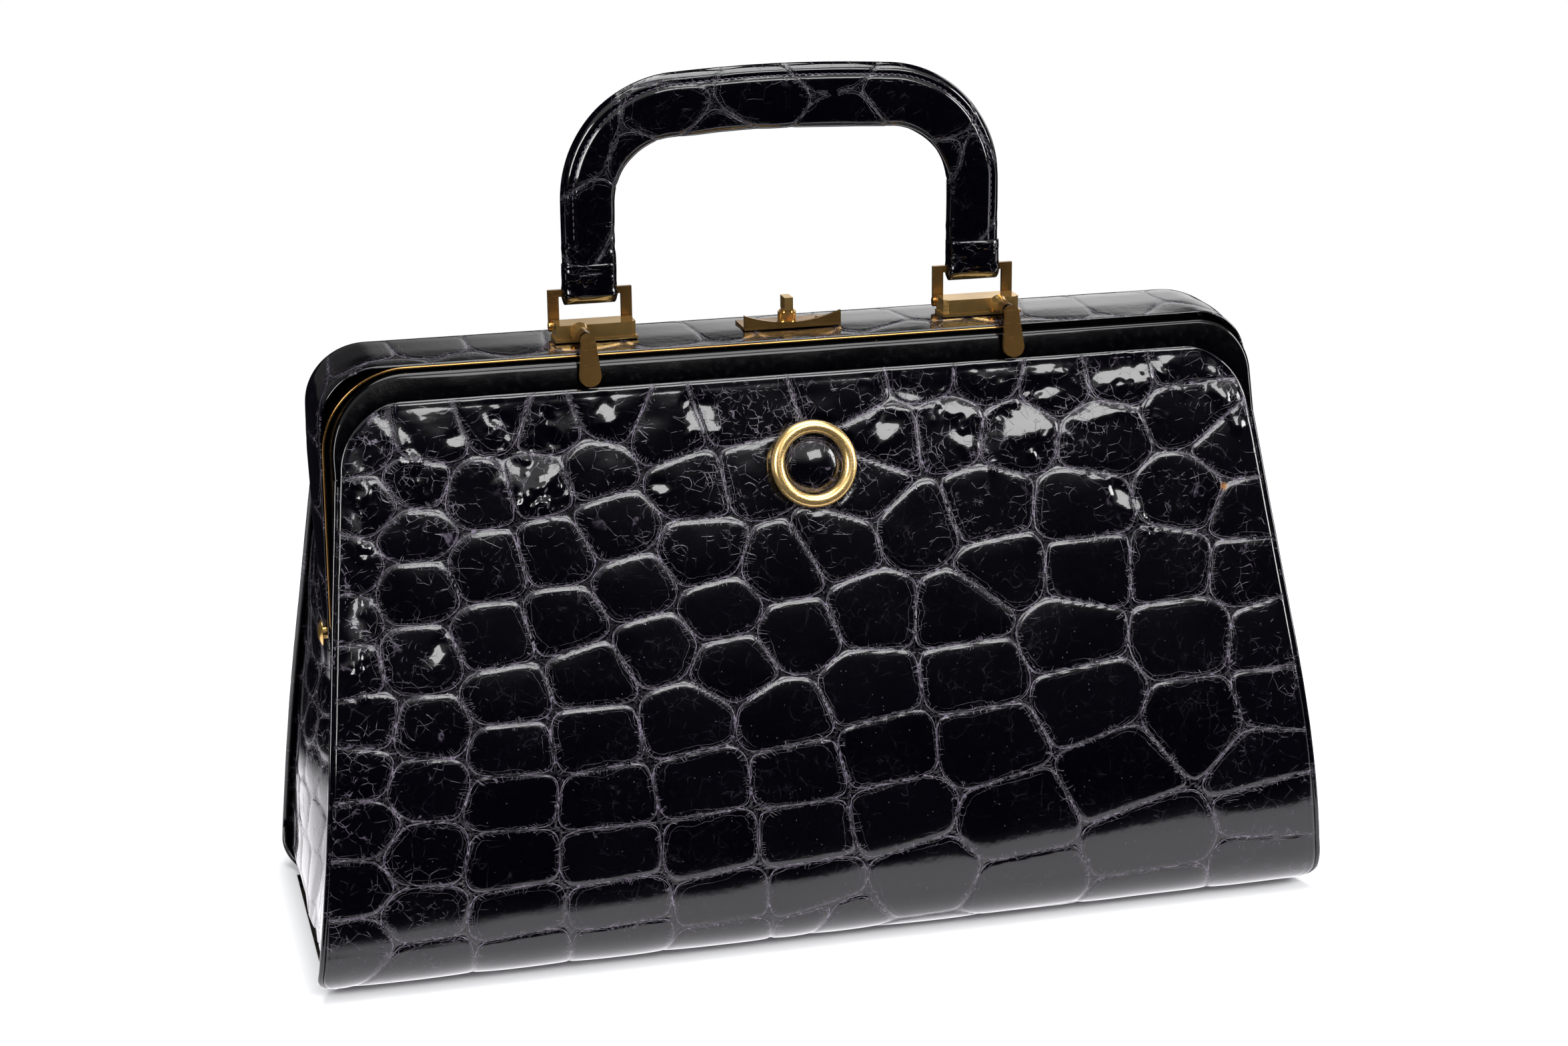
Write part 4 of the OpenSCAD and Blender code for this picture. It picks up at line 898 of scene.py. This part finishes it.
# A thin brass line shows between the frame halves, from the left foot to right of the middle, where it ends
BEAD_IN, BEAD_R, BEAD_END_X = REAR_RIM + 0.55, 0.38, 70
bead_line, _, _ = arch_path(COVER_HALF - BEAD_IN, COVER_TOP - BEAD_IN, COVER_R - REAR_RIM, HINGE_Z + 4)
bead_y = -np.interp(bead_line[:, 1], [HINGE_Z, COVER_TOP + 1], [LEG_R, LIP])
bead_path = np.stack([bead_line[:, 0], bead_y, bead_line[:, 1]], 1)
bead_path = bead_path[:np.argmax(bead_path[:, 0] > BEAD_END_X)]
bead = dress(rope("frame_bead", bead_path, BEAD_R, 12, aside=(0.0, 1.0, 0.0)), browned)
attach(bead, "bag_body")

# Both frame halves are brass too, lacquered black where no leather covers them
lacquer, tree, surface, place = finish("black lacquer", Specular_IOR_Level=0.1, Coat_Weight=0.5,
                                       Coat_Roughness=0.04)
chip = node(tree, "TexNoise", {"Vector": place, "Scale": 800.0, "Detail": 6.0}).outputs[0]
tree.links.new(mixed(tree, ramp(tree, chip, 0.7, 0.76), (0.0006, 0.0006, 0.0008, 1), (0.12, 0.08, 0.035, 1)),
               surface.inputs["Base Color"])
tree.links.new(sums(tree, "MULTIPLY_ADD", chip, 0.2, 0.05), surface.inputs["Roughness"])
bump = node(tree, "Bump", {"Height": chip, "Strength": 0.15, "Distance": 0.0001})
tree.links.new(bump.outputs[0], surface.inputs["Normal"])
paint(lacquer, "front_frame", "rear_frame")


# Medallion: a ring with a hide-covered dome in it, on the front panel's middle.
DOME_R, DOME_HIGH = 9.65, 2.8
dome_middles = np.array([(0.5, -0.5), (17, 4), (3, 16), (-16, 6), (-10, -14), (9, -15.0)])


def dome_place(u, v):
    angle, r = 2 * np.pi * u, DOME_R * v
    a, b = r * np.cos(angle), r * np.sin(angle)
    crease_at, ray = scales(a, b, dome_middles)
    high = DOME_HIGH * (1 - (r / DOME_R) ** 2) + 0.35 * pillow(crease_at) * (1 - (r / DOME_R) ** 4)
    high = np.where(v > 0.985, 0.0, high + 0.25)
    lean_angle = np.arctan(SLOPE)
    y = -plane_depth(MEDAL_Z) - high * np.cos(lean_angle) + b * np.sin(lean_angle)
    return np.stack([a, y, MEDAL_Z + high * np.sin(lean_angle) + b * np.cos(lean_angle)], 1), crease_at, ray


dome = skin("medallion_dome", 72, 36, dome_place, closed=True)
dress(dome, hide("dome crocodile", crackle=0.9))
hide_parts("medallion_disc")
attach(dome, "front_half")


# Handle: hide sewn round a stiff filler, flat where it is sewn along its outer edge, and full in the middle.
# At each end the front hide is folded round the ring's bar, inside a short wrap.
HANDLE_X, HANDLE_TOP, HANDLE_RISE, BEND_R = 64.0, 266.6, 1.2, 30.0
HANDLE_LEG, HANDLE_MID, HANDLE_T = 17.2, 20.6, 8.6
RING_Y, EYE_Z = 3.6, 207.0
HANDLE_LOW = EYE_Z + 1
BEND_Z = HANDLE_TOP - HANDLE_RISE - BEND_R
leg_t = np.linspace(0, 1, 12)[:-1, None]
bend_t = np.linspace(0, 1, 31)[:, None]
top_t = np.linspace(0, 1, 16)[1:, None]
quarter = bend_t * np.pi / 2
half_handle = np.concatenate([
    np.hstack([leg_t * 0 + HANDLE_X, HANDLE_LOW + leg_t * (BEND_Z - HANDLE_LOW), leg_t * 0 + 90, leg_t * 0]),
    np.hstack([HANDLE_X - BEND_R * (1 - np.cos(quarter)), BEND_Z + BEND_R * np.sin(quarter),
               90 + 90 * bend_t, bend_t]),
    np.hstack([(HANDLE_X - BEND_R) * (1 - top_t), HANDLE_TOP - HANDLE_RISE * (1 - top_t) ** 2,
               180 + 0 * top_t, 1 + 0 * top_t]),
])
other_half = half_handle[::-1][1:] * [-1, 1, -1, 1] + [0, 0, 360, 0]
handle_line = np.concatenate([half_handle, other_half])
handle_run = np.concatenate([[0], np.cumsum(np.linalg.norm(np.diff(handle_line[:, :2], axis=0), axis=1))])
handle_len = handle_run[-1]


def handle_at(s, angle, proud=0.0):
    """Points of the handle's surface at a length along it and an angle round it, and their directions."""
    x, z, travel, wide = (np.interp(s, handle_run, handle_line[:, k]) for k in range(4))
    a = (HANDLE_LEG + (HANDLE_MID - HANDLE_LEG) * wide) / 2
    b = np.full_like(a, HANDLE_T / 2)
    c, d = np.cos(angle), np.sin(angle)
    across = a * np.sign(c) * np.abs(c) ** 0.7
    through = b * np.sign(d) * np.abs(d) ** 0.8
    out = np.stack([np.sin(np.radians(travel)), 0 * x, -np.cos(np.radians(travel))], 1)
    point = np.stack([x, 0 * x + RING_Y, z], 1)
    n = out * (c / a)[:, None] + np.array([0, 1.0, 0]) * (d / b)[:, None]
    n /= np.linalg.norm(n, axis=1)[:, None]
    proud = np.asarray(proud) * np.ones_like(x)
    point = point + out * across[:, None] + np.array([0, 1.0, 0]) * through[:, None]
    return point + n * proud[:, None], n, a


SEAM_IN, WRAP_LONG = 3.4, 13.5
handle_middles = rows_of_scales(0, handle_len, -16, 16, 44, 15, 19, 0.3)


def handle_half(name, face, trim):
    """The hide over one face of the handle, -1 being the front one."""
    def place(u, v):
        s = trim + v * (handle_len - 2 * trim)
        angle = np.pi * u if face > 0 else np.pi + np.pi * u
        _, _, a = handle_at(s, angle)
        across = a * np.sign(np.cos(angle)) * np.abs(np.cos(angle)) ** 0.7
        crease_at, ray = scales(s, across * face + 40 * (face > 0), handle_middles)
        from_outer = a - across
        high = 0.5 * pillow(crease_at, crown=0.5) + 0.22 * lumps(s, across, 9, 80 + face)
        end = np.minimum(s, handle_len - s)
        high += 0.3 * np.exp(-((end - 13) / 1.3) ** 2) * lumps(across, s, 5, 90)
        sewn_down = 0.75 * np.exp(-((from_outer - SEAM_IN) / 0.75) ** 2)
        high -= sewn_down + 0.5 * np.clip(1 - from_outer / 3.0, 0, 1)
        high *= np.clip(np.abs(np.sin(angle)) * 5, 0.15, 1)
        points, _, _ = handle_at(s, angle, high)
        return points, crease_at, ray
    return skin(name, 40, 420, place)


def handle_wrap(hand):
    """The folded end of the front hide: a short sleeve that closes round the ring's bar."""
    def place(u, v):
        angle = 2 * np.pi * u
        up = WRAP_LONG * v
        s_local = HANDLE_LEG / 2 + 0.15 + 0.35 * np.exp(-((up - 3.5) / 2.2) ** 2)
        round_low = np.sqrt(np.clip(1 - (1 - up / 4.2) ** 2, 0.0, 1))
        round_low = np.where(up > 4.2, 1, round_low)
        c, d = np.cos(angle), np.sin(angle)
        x = hand * HANDLE_X + (s_local - 0.6 * (1 - round_low)) * np.sign(c) * np.abs(c) ** 0.5
        thick = (HANDLE_T / 2 + 0.35) * round_low
        y = RING_Y + thick * np.sign(d) * np.abs(d) ** 0.75
        fold = 0.25 * lumps(x, 4 * up, 4.5, 95 + hand) * round_low
        shut = np.where(v > 0.999, 0.93, 1.0)
        x = hand * HANDLE_X + (x - hand * HANDLE_X) * shut
        y = RING_Y + (y - RING_Y + fold * np.sign(d)) * shut
        crease_at = 1.2 + 2.5 * np.abs(lumps(x, 3 * up, 6, 99))
        return np.stack([x, y, EYE_Z - 4.0 + up], 1), crease_at, 0.4
    return skin("handle_wrap", 64, 30, place, closed=True)


handle_skin = hide("handle crocodile", worn=(0.04, 0.034, 0.052, 1), crackle=0.4)
front_handle = handle_half("handle_front_hide", -1, 0.0)
wraps = [handle_wrap(-1), handle_wrap(1)]
bpy.ops.object.select_all(action="DESELECT")
for piece in wraps + [front_handle]:
    piece.select_set(True)
bpy.context.view_layer.objects.active = front_handle
bpy.ops.object.join()
dress(front_handle, handle_skin)
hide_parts("handle_front_leather")
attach(front_handle, "handle")
rear_handle = dress(handle_half("handle_rear_hide", 1, 3.0), handle_skin)
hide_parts("handle_back_leather")
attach(rear_handle, "handle")

seam_s = np.linspace(16, handle_len - 16, 300)
for face, face_name in ((-1, "front"), (1, "rear")):
    _, _, seam_a = handle_at(seam_s, 0 * seam_s)
    share = np.clip(1 - SEAM_IN / seam_a, 0, 1) ** (1 / 0.7)
    seam_points, seam_out, _ = handle_at(seam_s, face * np.arccos(share), -0.35)
    seam = stitches("handle_stitches_" + face_name, seam_points, seam_out, pitch=2.1, long=1.5, thick=0.4)
    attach(seam, "handle")


# Lining: plain dark cotton twill, glued to the boards inside.
twill, tree, surface, place = finish("cotton twill", rough=0.85, Sheen_Weight=0.3)
rib = node(tree, "TexWave", {"Vector": place, "Scale": 700.0, "Distortion": 0.6}, bands_direction="DIAGONAL")
slub = node(tree, "TexNoise", {"Vector": place, "Scale": 300.0, "Detail": 4.0}).outputs[0]
tree.links.new(mixed(tree, rib.outputs["Fac"], (0.030, 0.022, 0.018, 1), (0.075, 0.058, 0.045, 1)),
               surface.inputs["Base Color"])
tree.links.new(sums(tree, "MULTIPLY_ADD", slub, 0.2, 0.75), surface.inputs["Roughness"])
bump = node(tree, "Bump", {"Height": rib.outputs["Fac"], "Strength": 0.5, "Distance": 0.0002})
tree.links.new(bump.outputs[0], surface.inputs["Normal"])
LINING_IN, LINING_HALF, LINING_LOW = 4.1, 156.5, 4.2
LINING_TAPER_Z, LINING_TAPER_HALF = (70.0, 98.0), (156.0, 139.0)
LINING_MOUTH, BELOW_FOLD, ABOVE_FOLD = 13.5, 92.0, 122.0


def lining_place(side, low_run, high_run):
    def place(u, v):
        run = low_run + (high_run - low_run) * v
        at, away = side_at(run)
        inner = at - LINING_IN * away
        clear_of_leg = np.interp(inner[:, 1], LINING_TAPER_Z, LINING_TAPER_HALF)
        half = np.minimum(half_at(inner[:, 1]) - 9.5, clear_of_leg)
        a = (2 * u - 1) * half
        return np.stack([-side * a, side * inner[:, 0], np.maximum(inner[:, 1], LINING_LOW)], 1), 9.0, 0.5
    return place


mouth_run = side_run[-1] - LINING_MOUTH
low_run = EDGE_R * np.pi / 2 * 0.25
rear_lining = skin("rear_lining_cloth", 120, 90, lining_place(1, low_run, mouth_run))
front_low_lining = skin("front_lining_cloth_low", 120, 50, lining_place(-1, low_run, BELOW_FOLD))
floor_half = side_at(np.array([low_run]))[0][0, 0] - LINING_IN + 2


def lining_floor(u, v):
    return np.stack([(2 * u - 1) * LINING_HALF, (2 * v - 1) * floor_half, 0 * u + LINING_LOW], 1), 9.0, 0.5


floor_lining = skin("floor_lining_cloth", 100, 30, lining_floor)
upper_lining = skin("front_lining_cloth_high", 120, 50, lining_place(-1, ABOVE_FOLD, mouth_run))
for piece, body, replaced, board, length in (
    (rear_lining, "bag_body", "lining", "rear_board", mouth_run - low_run),
    (front_low_lining, "bag_body", None, "front_lower_board", BELOW_FOLD - low_run),
    (floor_lining, "bag_body", None, "base_board", 2 * floor_half),
    (upper_lining, "front_half", "front_lining", "front_upper_board", mouth_run - ABOVE_FOLD),
):
    dress(piece, twill)
    if piece is not floor_lining:
        piece.data.flip_normals()
    if replaced:
        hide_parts(replaced)
    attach(piece, body)


# Boards: grey fibre board under the hide and the lining
fibre, tree, surface, place = finish("fibre board", rough=0.8)
chaff = node(tree, "TexNoise", {"Vector": place, "Scale": 500.0, "Detail": 6.0}).outputs[0]
tree.links.new(mixed(tree, chaff, (0.16, 0.12, 0.08, 1), (0.30, 0.24, 0.17, 1)),
               surface.inputs["Base Color"])
bump = node(tree, "Bump", {"Height": chaff, "Strength": 0.3, "Distance": 0.0002})
tree.links.new(bump.outputs[0], surface.inputs["Normal"])
paint(fibre, "rear_board", "front_lower_board", "front_upper_board", "base_board", "handle_core")


# Studio: a white floor whose near part shows in the glaze, with a painted shadow round the bag's foot, a
# dark room in front, and soft lamps
bpy.ops.object.select_all(action="DESELECT")
bpy.ops.mesh.primitive_circle_add(vertices=64, radius=6, fill_type="NGON", location=(0, 0, 0))
floor = bpy.context.object
floor.name = "studio_floor"
paper, tree, surface, place = finish("white paper", rough=0.9)
surface.inputs["Base Color"].default_value = (0.86, 0.86, 0.87, 1)
surface.inputs["Specular IOR Level"].default_value = 0.0
rays = node(tree, "LightPath")
spot = node(tree, "SeparateXYZ", {0: place})
# The glaze mirrors the floor only round the bag. Past a slanted front edge and a rear one, in metres, the
# floor is dark to it.
PATCH_SLANT, PATCH_FRONT, PATCH_BACK = 0.13, (-0.108, -0.122), (0.14, 0.2)
aslant = sums(tree, "MULTIPLY_ADD", spot.outputs["X"], PATCH_SLANT, spot.outputs["Y"])
to_front = ramp(tree, aslant, *PATCH_FRONT)
to_back = ramp(tree, spot.outputs["Y"], *PATCH_BACK)
off_table = sums(tree, "MAXIMUM", to_front, to_back)
dark_room = node(tree, "Emission", {"Color": (0.004, 0.004, 0.006, 1), "Strength": 1.0})
dim = sums(tree, "MULTIPLY", rays.outputs["Is Glossy Ray"], off_table)
# Painted shadow: for the camera the floor glows, but the glow fades to nothing within 16 mm of the bag's
# foot, which leaves a darker rim round it
past_side = sums(tree, "SUBTRACT", sums(tree, "ABSOLUTE", spot.outputs["X"]), 0.162)
past_front = sums(tree, "SUBTRACT", sums(tree, "MULTIPLY", spot.outputs["Y"], -1.0), 0.054)
painted_shadow_glow = ramp(tree, sums(tree, "MAXIMUM", past_side, past_front), 0.0, 0.016, 0.0, 0.5)
white = node(tree, "Emission", {"Color": (1, 1, 1, 1), "Strength": painted_shadow_glow})
sweep = node(tree, "Emission", {"Color": (1, 1, 1, 1), "Strength": 1.0})
floor_with_painted_shadow = node(tree, "AddShader", {0: surface.outputs[0], 1: white.outputs[0]})
far = ramp(tree, node(tree, "VectorMath", {0: place}, operation="LENGTH").outputs["Value"], 0.35, 0.7)
lit = node(tree, "MixShader", {0: far, 1: floor_with_painted_shadow.outputs[0], 2: sweep.outputs[0]})
bright = node(tree, "Emission", {"Color": (0.98, 0.96, 1, 1), "Strength": 1.5})
plain = node(tree, "MixShader", {
    0: rays.outputs["Is Glossy Ray"], 1: surface.outputs[0], 2: bright.outputs[0],
})
seen = node(tree, "MixShader", {0: rays.outputs["Is Camera Ray"], 1: plain.outputs[0], 2: lit.outputs[0]})
both = node(tree, "MixShader", {0: dim, 1: seen.outputs[0], 2: dark_room.outputs[0]})
tree.links.new(both.outputs[0], [n for n in tree.nodes if n.type == "OUTPUT_MATERIAL"][0].inputs[0])
floor.data.materials.append(paper)

world = bpy.data.worlds.new("studio")
bpy.context.scene.world = world
world.use_nodes = True
tree = world.node_tree
tree.nodes.clear()
rays = node(tree, "LightPath")
way = node(tree, "SeparateXYZ", {0: node(tree, "TexCoord").outputs["Generated"]})
behind = ramp(tree, way.outputs["Y"], 0.35, 0.75, 0.006, 0.9)
to_right = ramp(tree, way.outputs["X"], 0.04, 0.34, 0.05, 1.0)
low_down = ramp(tree, way.outputs["Z"], 0.47, 0.34)
glow = sums(tree, "MULTIPLY", sums(tree, "MULTIPLY", behind, to_right), low_down)
high_front = sums(tree, "MULTIPLY", ramp(tree, way.outputs["Z"], 0.34, 0.75),
                  ramp(tree, way.outputs["Y"], 0.1, -0.2))
glow = sums(tree, "MULTIPLY_ADD", high_front, 0.8, glow)
clear = node(tree, "Background", {"Color": (1, 1, 1, 1), "Strength": 1.0})
room = node(tree, "Background", {"Color": (1, 1, 1, 1), "Strength": glow})
soft = node(tree, "Background", {"Color": (0.95, 0.97, 1, 1), "Strength": 0.35})
mirrored = node(tree, "MixShader", {
    0: rays.outputs["Is Glossy Ray"], 1: soft.outputs[0], 2: room.outputs[0],
})
shown = node(tree, "MixShader", {
    0: rays.outputs["Is Camera Ray"], 1: mirrored.outputs[0], 2: clear.outputs[0],
})
node(tree, "OutputWorld", {"Surface": shown.outputs[0]})


def softbox(name, at, aim, width, height, power):
    """A rectangular lamp at a place, aimed at another."""
    lamp = bpy.data.lights.new(name, "AREA")
    lamp.shape = "RECTANGLE"
    lamp.size, lamp.size_y, lamp.energy = width, height, power
    holder = bpy.data.objects.new(name, lamp)
    away = np.array(at, float) - np.array(aim, float)
    away /= np.linalg.norm(away)
    across = np.cross([0, 0, 1.0], away)
    across /= np.linalg.norm(across)
    matrix = np.eye(4)
    matrix[:3, :3] = np.stack([across, np.cross(away, across), away], 1)
    matrix[:3, 3] = at
    holder.matrix_world = Matrix(matrix.tolist())
    bpy.context.collection.objects.link(holder)
    return holder


softbox("key softbox", (0.42, -1.25, 1.2), (0, 0, 0.15), 0.9, 0.5, 12)
softbox("left softbox", (-1.25, -0.8, 0.7), (0, 0, 0.12), 0.4, 0.8, 14)
softbox("right softbox", (1.35, -0.55, 0.65), (0, 0, 0.12), 0.4, 0.8, 14)
softbox("top softbox", (0.1, 0.1, 1.6), (0, 0, 0.1), 1.4, 0.9, 24)
scene = bpy.context.scene
scene.view_settings.view_transform = "Standard"
